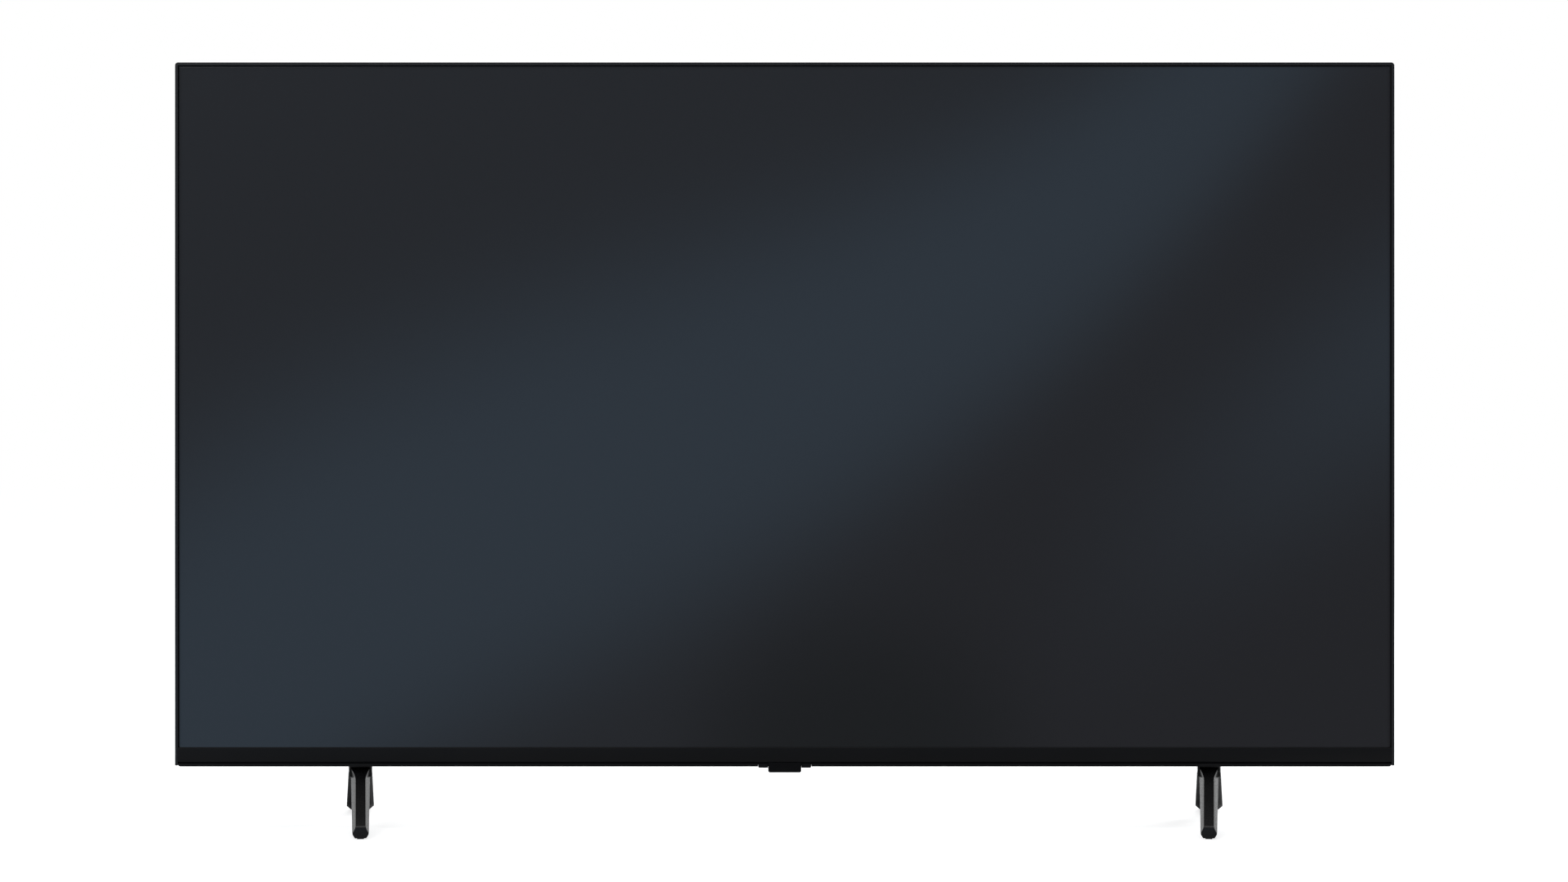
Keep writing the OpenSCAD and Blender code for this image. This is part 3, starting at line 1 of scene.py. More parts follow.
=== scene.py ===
import json
import math

import bmesh
import bpy
from mathutils import Matrix, Vector


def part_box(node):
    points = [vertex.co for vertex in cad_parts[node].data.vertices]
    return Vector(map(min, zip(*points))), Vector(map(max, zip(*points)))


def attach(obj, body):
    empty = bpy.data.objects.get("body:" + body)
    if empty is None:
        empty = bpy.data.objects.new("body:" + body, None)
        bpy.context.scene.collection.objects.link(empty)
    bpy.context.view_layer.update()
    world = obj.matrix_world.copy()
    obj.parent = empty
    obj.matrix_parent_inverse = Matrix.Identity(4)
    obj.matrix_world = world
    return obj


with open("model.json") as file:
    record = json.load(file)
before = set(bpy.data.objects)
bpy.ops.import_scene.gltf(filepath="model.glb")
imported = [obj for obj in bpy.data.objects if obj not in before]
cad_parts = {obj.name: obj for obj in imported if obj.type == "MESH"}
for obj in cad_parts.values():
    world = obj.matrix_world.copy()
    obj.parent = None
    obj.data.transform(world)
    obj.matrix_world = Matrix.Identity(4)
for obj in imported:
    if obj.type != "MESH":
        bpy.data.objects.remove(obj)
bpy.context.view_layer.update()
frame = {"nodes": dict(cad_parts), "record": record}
nodes = frame["nodes"]
mm = 0.001
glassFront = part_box("lcd_cell")[0].y
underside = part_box("bottom_rail")[0].z
print("frame loaded:", len(nodes), "nodes")


def onSet(x, y, z):  # millimetres from the glass and the underside of the set
    return Vector((x * mm, y * mm + glassFront, z * mm + underside))


class Wire:
    # one socket of a node tree; sums on it add Math nodes
    def __init__(self, tree, socket=None):
        self.tree = tree
        self.socket = socket

    def node(self, kind, settings=None, inputs=None, out=0):
        made = self.tree.nodes.new(kind)
        for key, value in (settings or {}).items():
            setattr(made, key, value)
        for key, value in (inputs or {}).items():
            if isinstance(value, Wire):
                self.tree.links.new(value.socket, made.inputs[key])
            else:
                made.inputs[key].default_value = value
        return Wire(self.tree, made.outputs[out] if len(made.outputs) else None)

    def sum(self, operation, first, second=0.0):
        return self.node("ShaderNodeMath", {"operation": operation}, {0: first, 1: second})

    def __add__(self, other):
        return self.sum("ADD", self, other)

    def __radd__(self, other):
        return self.sum("ADD", other, self)

    def __sub__(self, other):
        return self.sum("SUBTRACT", self, other)

    def __rsub__(self, other):
        return self.sum("SUBTRACT", other, self)

    def __mul__(self, other):
        return self.sum("MULTIPLY", self, other)

    def __rmul__(self, other):
        return self.sum("MULTIPLY", other, self)

    def __truediv__(self, other):
        return self.sum("DIVIDE", self, other)

    def __abs__(self):
        return self.sum("ABSOLUTE", self)


def tone(code):  # six hex digits to a linear colour
    parts = [int(code[i:i + 2], 16) / 255 for i in (0, 2, 4)]
    return tuple(p / 12.92 if p <= 0.04045 else ((p + 0.055) / 1.055) ** 2.4 for p in parts) + (1.0,)


# what all the finishes share
surfaceLook = {"noiseRoughness": 0.55, "edgeSamples": 4, "edgeTurn": (0.01, 0.2), "cloudy": (0.3, 0.7),
               "cloudRough": 0.08}


def speckle(place, scale, detail=3.0):
    return place.node("ShaderNodeTexNoise", None, {"Vector": place, "Scale": scale, "Detail": detail,
                                                   "Roughness": surfaceLook["noiseRoughness"]})


def stripesAlong(place, axis, pitch):  # even bands; the texture repeats them every pi / (10 * scale)
    return place.node("ShaderNodeTexWave", {"wave_type": "BANDS", "bands_direction": axis},
                      {"Vector": place, "Scale": math.pi / 10 / pitch}, "Fac")


def stretched(place, x, y, z):  # the same place with each axis scaled, for drawn-out patterns
    return place.node("ShaderNodeMapping", None, {"Vector": place, "Scale": (x, y, z)})


def split(place, axis):
    return place.node("ShaderNodeSeparateXYZ", None, {0: place}, axis)


def ease(value, low, high):
    return value.node("ShaderNodeMapRange", {"interpolation_type": "SMOOTHSTEP"},
                      {"Value": value, "From Min": low, "From Max": high})


def blendColour(factor, first, second):
    return factor.node("ShaderNodeMix", {"data_type": "RGBA"}, {0: factor, 6: first, 7: second}, 2)


def softNormal(place, radius):  # normal with its edges rounded
    return place.node("ShaderNodeBevel", {"samples": surfaceLook["edgeSamples"]}, {"Radius": radius})


def edgeMask(place, soft):  # 1 along edges, 0 on flat faces
    flat = place.node("ShaderNodeNewGeometry", out="Normal")
    turn = place.node("ShaderNodeVectorMath", {"operation": "DOT_PRODUCT"}, {0: soft, 1: flat}, "Value")
    return ease(1.0 - turn, *surfaceLook["edgeTurn"])


def raised(height, depth, soft=None):
    inputs = {"Height": height, "Strength": 1.0, "Distance": depth}
    if soft:
        inputs["Normal"] = soft
    return height.node("ShaderNodeBump", None, inputs)


def makeFinish(name, fixed, paint):
    material = bpy.data.materials.new(name)
    material.use_nodes = True
    tree = material.node_tree
    shader = tree.nodes["Principled BSDF"]
    for key, value in fixed.items():
        shader.inputs[key].default_value = value
    place = Wire(tree).node("ShaderNodeTexCoord", out="Object")
    for key, wire in paint(place).items():
        tree.links.new(wire.socket, shader.inputs[key])
    return material


def paintMoulded(look):  # moulded plastic: fine grain, slow cloudiness and a painted highlight that makes the edges slightly paler
    def paint(place):
        grain = speckle(place, look["grain"])
        cloud = speckle(place, look["cloud"])
        soft = softNormal(place, look["edge"])
        colour = blendColour(ease(cloud, *surfaceLook["cloudy"]), look["dark"], look["light"])
        # painted highlight: the edges are blended toward a paler tone
        colour = blendColour(edgeMask(place, soft) * look["wearAndEdgeHighlight"], colour, look["paintedEdgeHighlight"])
        rough = look["rough"] + (grain - 0.5) * look["spread"] + (cloud - 0.5) * surfaceLook["cloudRough"]
        return {"Base Color": colour, "Roughness": rough, "Normal": raised(grain, look["depth"], soft)}
    return paint


finishes = {}

frameLook = {"dark": tone("131314"), "light": tone("161617"), "paintedEdgeHighlight": tone("2c2c2e"), "wearAndEdgeHighlight": 0.5,
             "rough": 0.34, "spread": 0.10, "grain": 2600, "cloud": 7, "edge": 0.35 * mm, "depth": 0.012 * mm}
finishes["frame_plastic"] = makeFinish("satinFrame", {"Specular IOR Level": 0.24}, paintMoulded(frameLook))

bezelLook = {"dark": tone("0a0a0b"), "light": tone("0c0c0d"), "paintedEdgeHighlight": tone("1f1f21"), "wearAndEdgeHighlight": 0.6,
             "rough": 0.46, "spread": 0.12, "grain": 3000, "cloud": 9, "edge": 0.3 * mm, "depth": 0.010 * mm}
finishes["bezel_plastic"] = makeFinish("darkBezel", {"Specular IOR Level": 0.1}, paintMoulded(bezelLook))

coverLook = {"dark": tone("161617"), "light": tone("1b1b1d"), "paintedEdgeHighlight": tone("323235"), "wearAndEdgeHighlight": 0.55,
             "rough": 0.58, "spread": 0.16, "grain": 1500, "cloud": 6, "edge": 0.5 * mm, "depth": 0.03 * mm,
             "pebble": 680, "pebbleDepth": 0.065 * mm, "pebbleRim": 0.28, "pebbleSheen": 0.08,
             "bendScale": 0.6, "bend": 0.7, "paintedPitShade": tone("101011"), "pitShade": 0.6,
             "ribs": 3.2 * mm, "ribDepth": 0.16 * mm, "ribSheen": 0.06, "ribFade": 0.002,
             "ribLow": 0.548, "ribHigh": 0.722, "ribWide": 0.556, "facing": (0.9, 0.99)}


def pebbled(place, look):  # rounded pebbles of etched grain, 1 on their tops and 0 between them
    scale = look["pebble"]
    drift = place.node("ShaderNodeTexNoise", None,
                       {"Vector": place, "Scale": scale * look["bendScale"]}, "Color")
    bent = place.node("ShaderNodeVectorMath", {"operation": "MULTIPLY_ADD"},
                      {0: drift, 1: (look["bend"] / scale,) * 3, 2: place})
    cell = place.node("ShaderNodeTexVoronoi", {"feature": "DISTANCE_TO_EDGE"},
                      {"Vector": bent, "Scale": scale}, "Distance")
    return ease(cell, 0.0, look["pebbleRim"])


def ribbedField(place, look):  # 1 where the slim upper part of the back has its upright ribbing
    x, z = split(place, "X"), split(place, "Z")
    fade = look["ribFade"]
    above = ease(z, look["ribLow"], look["ribLow"] + fade)
    below = 1.0 - ease(z, look["ribHigh"] - fade, look["ribHigh"])
    between = 1.0 - ease(abs(x), look["ribWide"] - fade, look["ribWide"])
    back = ease(split(place.node("ShaderNodeNewGeometry", out="Normal"), "Y"), *look["facing"])
    return above * below * between * back


def paintCover(place):  # etched pebble grain with painted shade in the hollows between the pebbles, and fine ribbing on the upper back
    look = coverLook
    grain = speckle(place, look["grain"], detail=4.0)
    pebble = pebbled(place, look)
    cloud = speckle(place, look["cloud"])
    soft = softNormal(place, look["edge"])
    ribbed = stripesAlong(place, "X", look["ribs"]) * ribbedField(place, look)
    colour = blendColour(ease(cloud, *surfaceLook["cloudy"]), look["dark"], look["light"])
    # painted shade: the hollows between the pebbles are darkened
    colour = blendColour((1.0 - pebble) * look["pitShade"], colour, look["paintedPitShade"])
    # painted highlight: the edges are blended toward a paler tone
    colour = blendColour(edgeMask(place, soft) * look["wearAndEdgeHighlight"], colour, look["paintedEdgeHighlight"])
    rough = (look["rough"] + (grain - 0.5) * look["spread"] - ribbed * look["ribSheen"]
             - pebble * look["pebbleSheen"])
    lined = raised(pebble, look["pebbleDepth"], raised(ribbed, look["ribDepth"], soft))
    return {"Base Color": colour, "Roughness": rough, "Normal": raised(grain, look["depth"], lined)}


finishes["cover_plastic"] = makeFinish("grainedCover", {"Specular IOR Level": 0.4}, paintCover)

trayLook = {"dark": tone("151516"), "light": tone("19191b"), "paintedEdgeHighlight": tone("2c2c2e"), "wearAndEdgeHighlight": 0.5,
            "rough": 0.55, "spread": 0.14, "grain": 1700, "cloud": 9, "edge": 0.4 * mm, "depth": 0.04 * mm}
finishes["tray_plastic"] = makeFinish("grainedTray", {"Specular IOR Level": 0.4}, paintMoulded(trayLook))

socketLook = {"dark": tone("131314"), "light": tone("18181a"), "paintedEdgeHighlight": tone("303032"), "wearAndEdgeHighlight": 0.5,
              "rough": 0.4, "spread": 0.10, "grain": 3200, "cloud": 60, "edge": 0.2 * mm, "depth": 0.01 * mm}
finishes["socket_black"] = makeFinish("socketNylon", {"Specular IOR Level": 0.45}, paintMoulded(socketLook))

windowLook = {"dark": tone("050506"), "light": tone("070708"), "paintedEdgeHighlight": tone("141416"), "wearAndEdgeHighlight": 0.4,
              "rough": 0.2, "spread": 0.06, "grain": 2400, "cloud": 40, "edge": 0.25 * mm,
              "depth": 0.004 * mm}
finishes["window_plastic"] = makeFinish("tintedWindow", {"Specular IOR Level": 0.1}, paintMoulded(windowLook))

sensorLook = {"dark": tone("060607"), "light": tone("09090a"), "paintedEdgeHighlight": tone("18181a"), "wearAndEdgeHighlight": 0.4,
              "rough": 0.34, "spread": 0.08, "grain": 2600, "cloud": 60, "edge": 0.2 * mm,
              "depth": 0.006 * mm}
sensorBlack = makeFinish("sensorBlack", {"Specular IOR Level": 0.1}, paintMoulded(sensorLook))

keyLook = {"dark": tone("101011"), "light": tone("141415"), "paintedEdgeHighlight": tone("2a2a2c"), "wearAndEdgeHighlight": 0.6,
           "rough": 0.42, "spread": 0.10, "grain": 2800, "cloud": 90, "edge": 0.25 * mm, "depth": 0.008 * mm}
finishes["key_plastic"] = makeFinish("keyCap", {"Specular IOR Level": 0.4}, paintMoulded(keyLook))

footLook = {"dark": tone("060607"), "light": tone("09090a"), "paintedEdgeHighlight": tone("151517"), "wearAndEdgeHighlight": 0.3,
            "rough": 0.27, "spread": 0.06, "grain": 900, "cloud": 18, "edge": 0.35 * mm, "depth": 0.004 * mm}
finishes["foot_plastic"] = makeFinish("satinFoot", {"Specular IOR Level": 0.2}, paintMoulded(footLook))

padLook = {"dark": tone("222223"), "light": tone("2c2c2d"), "paintedEdgeHighlight": tone("3a3a3b"), "wearAndEdgeHighlight": 0.5,
           "rough": 0.82, "spread": 0.15, "grain": 1400, "cloud": 80, "edge": 0.3 * mm, "depth": 0.03 * mm}
finishes["pad_rubber"] = makeFinish("padRubber", {"Specular IOR Level": 0.3}, paintMoulded(padLook))

screenLook = {"lit": tone("0c0d0f"), "border": tone("060607"), "rough": 0.11, "spread": 0.03, "sparkle": 5200,
              "haze": 5, "hazeRough": 0.02, "edge": 2.6 * mm, "edgeFade": 0.3 * mm}


def paintScreen(place):  # matt polarising film: a faint haze over the lit area, darker around it
    look = screenLook
    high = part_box("lcd_cell")[1]
    x, z = split(place, "X"), split(place, "Z")
    side = ease(high.x - abs(x), look["edge"], look["edge"] + look["edgeFade"])
    top = ease(high.z - z, look["edge"], look["edge"] + look["edgeFade"])
    haze = speckle(place, look["haze"], detail=1.0)
    grain = speckle(place, look["sparkle"], detail=1.0)
    colour = blendColour(side * top, look["border"], look["lit"])
    rough = look["rough"] + (grain - 0.5) * look["spread"] + (haze - 0.5) * look["hazeRough"]
    return {"Base Color": colour, "Roughness": rough}


finishes["screen_glass"] = makeFinish("mattScreen", {"IOR": 1.5}, paintScreen)
print("front and back finishes made")

platedLook = {"drawn": 14.0, "stained": (0.35, 0.7), "lineRough": 0.12, "stainRough": 0.1}


def paintPlated(look):  # plated sheet: fine rolling lines and faint stains
    def paint(place):
        lines = speckle(stretched(place, 1.0, 1.0, platedLook["drawn"]), look["lines"])
        stain = speckle(place, look["stain"])
        soft = softNormal(place, look["edge"])
        colour = blendColour(ease(stain, *platedLook["stained"]), look["bright"], look["dull"])
        rough = (look["rough"] + (lines - 0.5) * platedLook["lineRough"]
                 + (stain - 0.5) * platedLook["stainRough"])
        return {"Base Color": colour, "Roughness": rough, "Normal": raised(lines, look["depth"], soft)}
    return paint


shellLook = {"bright": tone("c9c8c4"), "dull": tone("a9a8a5"), "lines": 500, "stain": 120, "rough": 0.3,
             "edge": 0.2 * mm, "depth": 0.006 * mm}
finishes["plated_steel"] = makeFinish("nickelShell", {"Metallic": 1.0}, paintPlated(shellLook))

panLook = {"bright": tone("a3a8ab"), "dull": tone("8c9194"), "lines": 160, "stain": 14, "rough": 0.45,
           "edge": 0.5 * mm, "depth": 0.01 * mm}
finishes["pan_steel"] = makeFinish("zincPan", {"Metallic": 0.9}, paintPlated(panLook))

finLook = {"bright": tone("d0d3d6"), "dull": tone("b4b8bb"), "lines": 400, "stain": 60, "rough": 0.38,
           "edge": 0.2 * mm, "depth": 0.01 * mm}
finishes["aluminium"] = makeFinish("extrudedFin", {"Metallic": 1.0}, paintPlated(finLook))

screwLook = {"bright": tone("3a3a3d"), "dull": tone("2a2a2c"), "lines": 900, "stain": 200, "rough": 0.36,
             "edge": 0.25 * mm, "depth": 0.008 * mm}
finishes["black_screw"] = makeFinish("blackZinc", {"Metallic": 0.85}, paintPlated(screwLook))

goldLook = {"bright": tone("e2bb62"), "dull": tone("c99e48"), "lines": 1500, "stain": 400, "rough": 0.24,
            "edge": 0.05 * mm, "depth": 0.002 * mm}
goldContact = makeFinish("goldContact", {"Metallic": 1.0}, paintPlated(goldLook))

boardLook = {"trackMiddle": 0.45, "trackEdge": (0.10, 0.06), "holeEdge": (0.14, 0.10), "rough": 0.42,
             "ringSheen": 0.1, "fibre": 900, "fibreRough": 0.1, "trackDepth": 0.03 * mm}


def paintBoard(look):  # solder mask over copper tracks and plated through holes
    def paint(place):
        track = place.node("ShaderNodeTexVoronoi", {"distance": "MANHATTAN", "feature": "F1"},
                           {"Vector": place, "Scale": look["tracks"]}, "Distance")
        hole = place.node("ShaderNodeTexVoronoi", {"feature": "F1"},
                          {"Vector": place, "Scale": look["holes"]}, "Distance")
        copper = ease(abs(track - boardLook["trackMiddle"]), *boardLook["trackEdge"])
        ring = ease(hole, *boardLook["holeEdge"])
        colour = blendColour(copper, look["mask"], look["copper"])
        colour = blendColour(ring, colour, look["tin"])
        rough = (boardLook["rough"] - ring * boardLook["ringSheen"]
                 + (speckle(place, boardLook["fibre"], detail=2.0) - 0.5) * boardLook["fibreRough"])
        return {"Base Color": colour, "Roughness": rough, "Normal": raised(copper, boardLook["trackDepth"])}
    return paint


greenBoard = {"mask": tone("1b5231"), "copper": tone("2c6f45"), "tin": tone("b9b6a6"),
              "tracks": 160, "holes": 120}
finishes["board_green"] = makeFinish("greenBoard", {"Coat Weight": 0.2}, paintBoard(greenBoard))
tanBoard = {"mask": tone("a87f43"), "copper": tone("8d6836"), "tin": tone("c7c2ae"),
            "tracks": 90, "holes": 80}
finishes["board_tan"] = makeFinish("tanBoard", {"Specular IOR Level": 0.4}, paintBoard(tanBoard))

stripes = {
    "ribbon": {"along": "X", "pitch": 1.0 * mm, "dark": tone("c2c2bd"), "light": tone("e2e2de"),
               "rough": 0.4, "cloud": 200, "depth": 0.05 * mm},
    "film": {"along": "X", "pitch": 0.6 * mm, "dark": tone("6e4514"), "light": tone("a06a24"),
             "rough": 0.35, "cloud": 200, "depth": 0.02 * mm},
    "winding": {"along": "Y", "pitch": 4.0 * mm, "dark": tone("b99a2a"), "light": tone("dcc048"),
                "rough": 0.45, "cloud": 150, "depth": 0.1 * mm},
    "lead": {"along": "Z", "pitch": 1.2 * mm, "dark": tone("202023"), "light": tone("303034"),
             "rough": 0.5, "cloud": 300, "depth": 0.1 * mm}}
stripeLook = {"edge": (0.35, 0.65), "wearRough": 0.2}


def paintStriped(look):  # flat cables, films and wound tape: even stripes along one axis
    def paint(place):
        stripe = stripesAlong(place, look["along"], look["pitch"])
        wearAndEdgeHighlight = speckle(place, look["cloud"])
        colour = blendColour(ease(stripe, *stripeLook["edge"]), look["dark"], look["light"])
        rough = look["rough"] + (wearAndEdgeHighlight - 0.5) * stripeLook["wearRough"]
        return {"Base Color": colour, "Roughness": rough, "Normal": raised(stripe, look["depth"])}
    return paint


for slot, look in stripes.items():
    finishes[slot] = makeFinish(slot + "Stripes", {"Specular IOR Level": 0.4}, paintStriped(look))

plains = {
    "foam": {"dark": tone("1e1e20"), "light": tone("323236"), "rough": 0.9, "fibre": 2200, "cloud": 60,
             "depth": 0.1 * mm},
    "sheet_white": {"dark": tone("e6e6e2"), "light": tone("f6f6f4"), "rough": 0.6, "fibre": 900, "cloud": 6,
                    "depth": 0.01 * mm},
    "lens_clear": {"dark": tone("cdd6db"), "light": tone("e8eef1"), "rough": 0.12, "fibre": 500, "cloud": 60,
                   "depth": 0.002 * mm},
    "sleeve": {"dark": tone("1d2028"), "light": tone("292d38"), "rough": 0.3, "fibre": 400, "cloud": 60,
               "depth": 0.01 * mm},
    "cone_paper": {"dark": tone("262320"), "light": tone("3e3a35"), "rough": 0.85, "fibre": 1500, "cloud": 90,
                   "depth": 0.08 * mm},
    "soft_rubber": {"dark": tone("151515"), "light": tone("202020"), "rough": 0.7, "fibre": 1200, "cloud": 90,
                    "depth": 0.02 * mm}}
plainLook = {"fibreShare": 0.6, "cloudShare": 0.4, "fibreRough": 0.15}


def paintPlain(look):  # sheets, foam, paper and sleeves
    def paint(place):
        fibre = speckle(place, look["fibre"], detail=4.0)
        cloud = speckle(place, look["cloud"], detail=2.0)
        mottle = fibre * plainLook["fibreShare"] + cloud * plainLook["cloudShare"]
        colour = blendColour(mottle, look["dark"], look["light"])
        rough = look["rough"] + (fibre - 0.5) * plainLook["fibreRough"]
        return {"Base Color": colour, "Roughness": rough, "Normal": raised(fibre, look["depth"])}
    return paint


for slot, look in plains.items():
    finishes[slot] = makeFinish(slot + "Plain", {"Specular IOR Level": 0.35}, paintPlain(look))
print("inner finishes made:", len(finishes), "slots")

for part in frame["record"]["subparts"]:
    nodes[part["node"]].material_slots[0].material = finishes[part["material_slot"]]
nodes["sensor_housing"].material_slots[0].material = sensorBlack

# CAD nodes keep their meshes; modifiers merge the triangles, smooth the small facets and round the edges
softening = {"angle": 32.0, "merge": 0.002 * mm, "weld": 0.05 * mm, "flat": 0.2, "segments": 2,
             "rounding": {"front_frame": 0.45, "bottom_rail": 0.4, "bottom_bezel": 0.3, "lcd_cell": 0.08,
                          "sensor_housing": 0.3, "sensor_window": 0.35, "power_key": 0.2, "foot_pads": 0.3,
                          "terminal_tray": 0.4, "inlet_tray": 0.4, "cover_screws": 0.2, "foot_screws": 0.2,
                          "wall_mount_posts": 0.3, "tuner": 0.25, "video_sockets": 0.12,
                          "data_sockets": 0.12, "lan_socket": 0.15, "optical_socket": 0.2,
                          "headphone_socket": 0.2, "card_slot": 0.2, "mains_inlet": 0.25}}


def makeSoftShade():
    group = bpy.data.node_groups.new("softShade", "GeometryNodeTree")
    group.interface.new_socket("Geometry", in_out="INPUT", socket_type="NodeSocketGeometry")
    group.interface.new_socket("Geometry", in_out="OUTPUT", socket_type="NodeSocketGeometry")
    mesh = Wire(group).node("NodeGroupInput")
    merged = mesh.node("GeometryNodeMergeByDistance", None,
                       {"Geometry": mesh, "Distance": softening["merge"]})
    angle = mesh.node("GeometryNodeInputMeshEdgeAngle", out="Unsigned Angle")
    sharp = mesh.node("FunctionNodeCompare", {"data_type": "FLOAT", "operation": "GREATER_THAN"},
                      {0: angle, 1: math.radians(softening["angle"])})
    shaded = mesh.node("GeometryNodeSetMeshNormal", {"mode": "SHARPNESS"},
                       {"Mesh": merged, "Remove Custom": True, "Edge Sharpness": sharp})
    mesh.node("NodeGroupOutput", None, {0: shaded})
    return group


def roundEdges(node, width):
    node.modifiers.new("weldSlivers", "WELD").merge_threshold = softening["weld"]
    flat = node.modifiers.new("flatFaces", "DECIMATE")
    flat.decimate_type = "DISSOLVE"
    flat.angle_limit = math.radians(softening["flat"])
    bevel = node.modifiers.new("roundEdge", "BEVEL")
    bevel.width = width * mm
    bevel.segments = softening["segments"]
    bevel.limit_method = "ANGLE"
    bevel.angle_limit = math.radians(softening["angle"])
    bevel.harden_normals = True


softShade = makeSoftShade()
for name, node in nodes.items():
    node.modifiers.new("softShade", "NODES").node_group = softShade
    if name in softening["rounding"]:
        roundEdges(node, softening["rounding"][name])
print("CAD nodes dressed")

pieceLook = {"doubles": 0.001 * mm, "barEdge": 0.04, "turnSteps": 32}
turnedAxes = {"X": (Vector((1, 0, 0)), Vector((0, 0, 1))),  # along the axis, and out from it
              "Y": (Vector((0, 1, 0)), Vector((1, 0, 0))),
              "Z": (Vector((0, 0, 1)), Vector((1, 0, 0)))}


def addPiece(name, mesh, material, body="set"):
    bmesh.ops.remove_doubles(mesh, verts=mesh.verts, dist=pieceLook["doubles"])
    bmesh.ops.recalc_face_normals(mesh, faces=mesh.faces)
    data = bpy.data.meshes.new(name)
    mesh.to_mesh(data)
    mesh.free()
    data.shade_smooth()
    piece = bpy.data.objects.new(name, data)
    bpy.context.scene.collection.objects.link(piece)
    piece.data.materials.append(material)
    piece.modifiers.new("softShade", "NODES").node_group = softShade
    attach(piece, body)
    return piece


def addBar(mesh, centre, size, tilt=0.0, edge=pieceLook["barEdge"]):  # bar with broken edges, in mm
    made = bmesh.ops.create_cube(mesh, size=1.0)["verts"]
    bmesh.ops.scale(mesh, verts=made, vec=Vector(size) * mm)
    if tilt:
        bmesh.ops.rotate(mesh, verts=made, cent=(0, 0, 0), matrix=Matrix.Rotation(math.radians(tilt), 3, "X"))
    bmesh.ops.translate(mesh, verts=made, vec=centre)
    edges = list({e for v in made for e in v.link_edges})
    bmesh.ops.bevel(mesh, geom=edges, offset=edge * mm, segments=1, profile=0.5, affect="EDGES", material=-1)


def addTurned(mesh, profile, centre, axis):  # spins (radius, distance) points in mm into a closed ring
    along, side = turnedAxes[axis]
    ring = [mesh.verts.new(centre + side * r * mm + along * d * mm) for r, d in profile]
    loop = [mesh.edges.new((a, b)) for a, b in zip(ring, ring[1:] + ring[:1])]
    bmesh.ops.spin(mesh, geom=ring + loop, cent=centre, axis=along, angle=2 * math.pi,
                   steps=pieceLook["turnSteps"], use_merge=True, use_duplicate=False)


# places in mm: mouth is where the side sockets begin, boardTop the component side of the boards
mouth = -332.4
boardTop = 34.4
contactLook = {"reach": 5.6,
               "videoHeights": (226, 248, 270), "videoPitch": 1.0, "videoRows": ((2.9, 10), (3.8, 9)),
               "videoBar": (7.4, 0.12, 0.5), "videoEdge": 0.02,
               "dataHeights": (292, 310), "dataPlaces": (-3.5, -1.0, 1.0, 3.5), "dataFace": 3.4,
               "dataBar": (8.2, 0.2, 1.1),
               "lanPlace": (-223, 4.1, 192.2), "lanCount": 8, "lanPitch": 1.02, "lanSlope": 17.0,
               "lanBar": (0.42, 0.3, 9.6),
               "cardReach": 59.4, "cardRows": (3.5, 4.9), "cardMiddle": 359.5, "cardCount": 34,
               "cardPitch": 1.27, "cardBar": (5.0, 0.45, 0.45), "cardEdge": 0.05}


def evenly(count, pitch):  # places of a row about its middle
    return [(i - (count - 1) / 2) * pitch for i in range(count)]


def makeContacts():  # spring contacts of the side sockets, the network socket and the card slot
    look = contactLook
    mesh = bmesh.new()
    for height in look["videoHeights"]:
        for face, count in look["videoRows"]:
            for shift in evenly(count, look["videoPitch"]):
                addBar(mesh, onSet(mouth + look["reach"], boardTop + face, height + shift), look["videoBar"],
                       edge=look["videoEdge"])
    for height in look["dataHeights"]:
        for shift in look["dataPlaces"]:
            addBar(mesh, onSet(mouth + look["reach"], boardTop + look["dataFace"], height + shift),
                   look["dataBar"])
    x, face, height = look["lanPlace"]
    for shift in evenly(look["lanCount"], look["lanPitch"]):
        addBar(mesh, onSet(x + shift, boardTop + face, height), look["lanBar"], look["lanSlope"])
    for row in look["cardRows"]:
        for shift in evenly(look["cardCount"], look["cardPitch"]):
            addBar(mesh, onSet(mouth + look["cardReach"], boardTop + row, look["cardMiddle"] + shift),
                   look["cardBar"], edge=look["cardEdge"])
    return addPiece("socketContacts", mesh, goldContact)


ringLook = {"phoneFace": 3.5, "phoneHeight": 204,
            "phone": [(1.8, 0.6), (1.8, -0.1), (2.0, -0.35), (2.7, -0.35), (3.0, -0.1), (3.0, 0.6)],
            "stubPlace": (-165, 7), "stubFoot": 174.4, "stubTurns": 11, "stubPitch": 0.8, "stubRoot": 4.72,
            "stubCrest": 5.0, "stubInside": 4.5, "stubEnd": 183.2,
            "pinPlace": (305.4, 6.5, 240), "pinApart": 4.3,
            "pin": [(0.0, -13.4), (1.28, -13.4), (1.28, -3.6), (1.1, -3.0), (0.6, -2.7), (0.0, -2.62)]}


def makeRings():  # plated rings: headphone sleeve, thread of the satellite socket, inlet pins
    look = ringLook
    mesh = bmesh.new()
    addTurned(mesh, look["phone"], onSet(mouth, boardTop + look["phoneFace"], look["phoneHeight"]), "X")
    foot, end, pitch = look["stubFoot"], look["stubEnd"], look["stubPitch"]
    thread = []
    for i in range(look["stubTurns"]):
        thread += [(look["stubRoot"], foot + i * pitch), (look["stubCrest"], foot + (i + 0.5) * pitch)]
    thread += [(look["stubRoot"], end), (look["stubInside"], end), (look["stubInside"], foot)]
    x, face = look["stubPlace"]
    addTurned(mesh, thread, onSet(x, boardTop + face, 0), "Z")
    x, face, height = look["pinPlace"]
    for side in (-1, 1):
        addTurned(mesh, look["pin"], onSet(x, boardTop + face, height + side * look["pinApart"]), "X")
    return addPiece("platedRings", mesh, finishes["plated_steel"])


insulatorLook = {"stubs": (-165, -145), "face": 7, "height": 174,
                 "profile": [(1.3, 0.6), (1.3, -0.12), (3.1, -0.12), (3.3, 0.05), (3.3, 0.6)]}


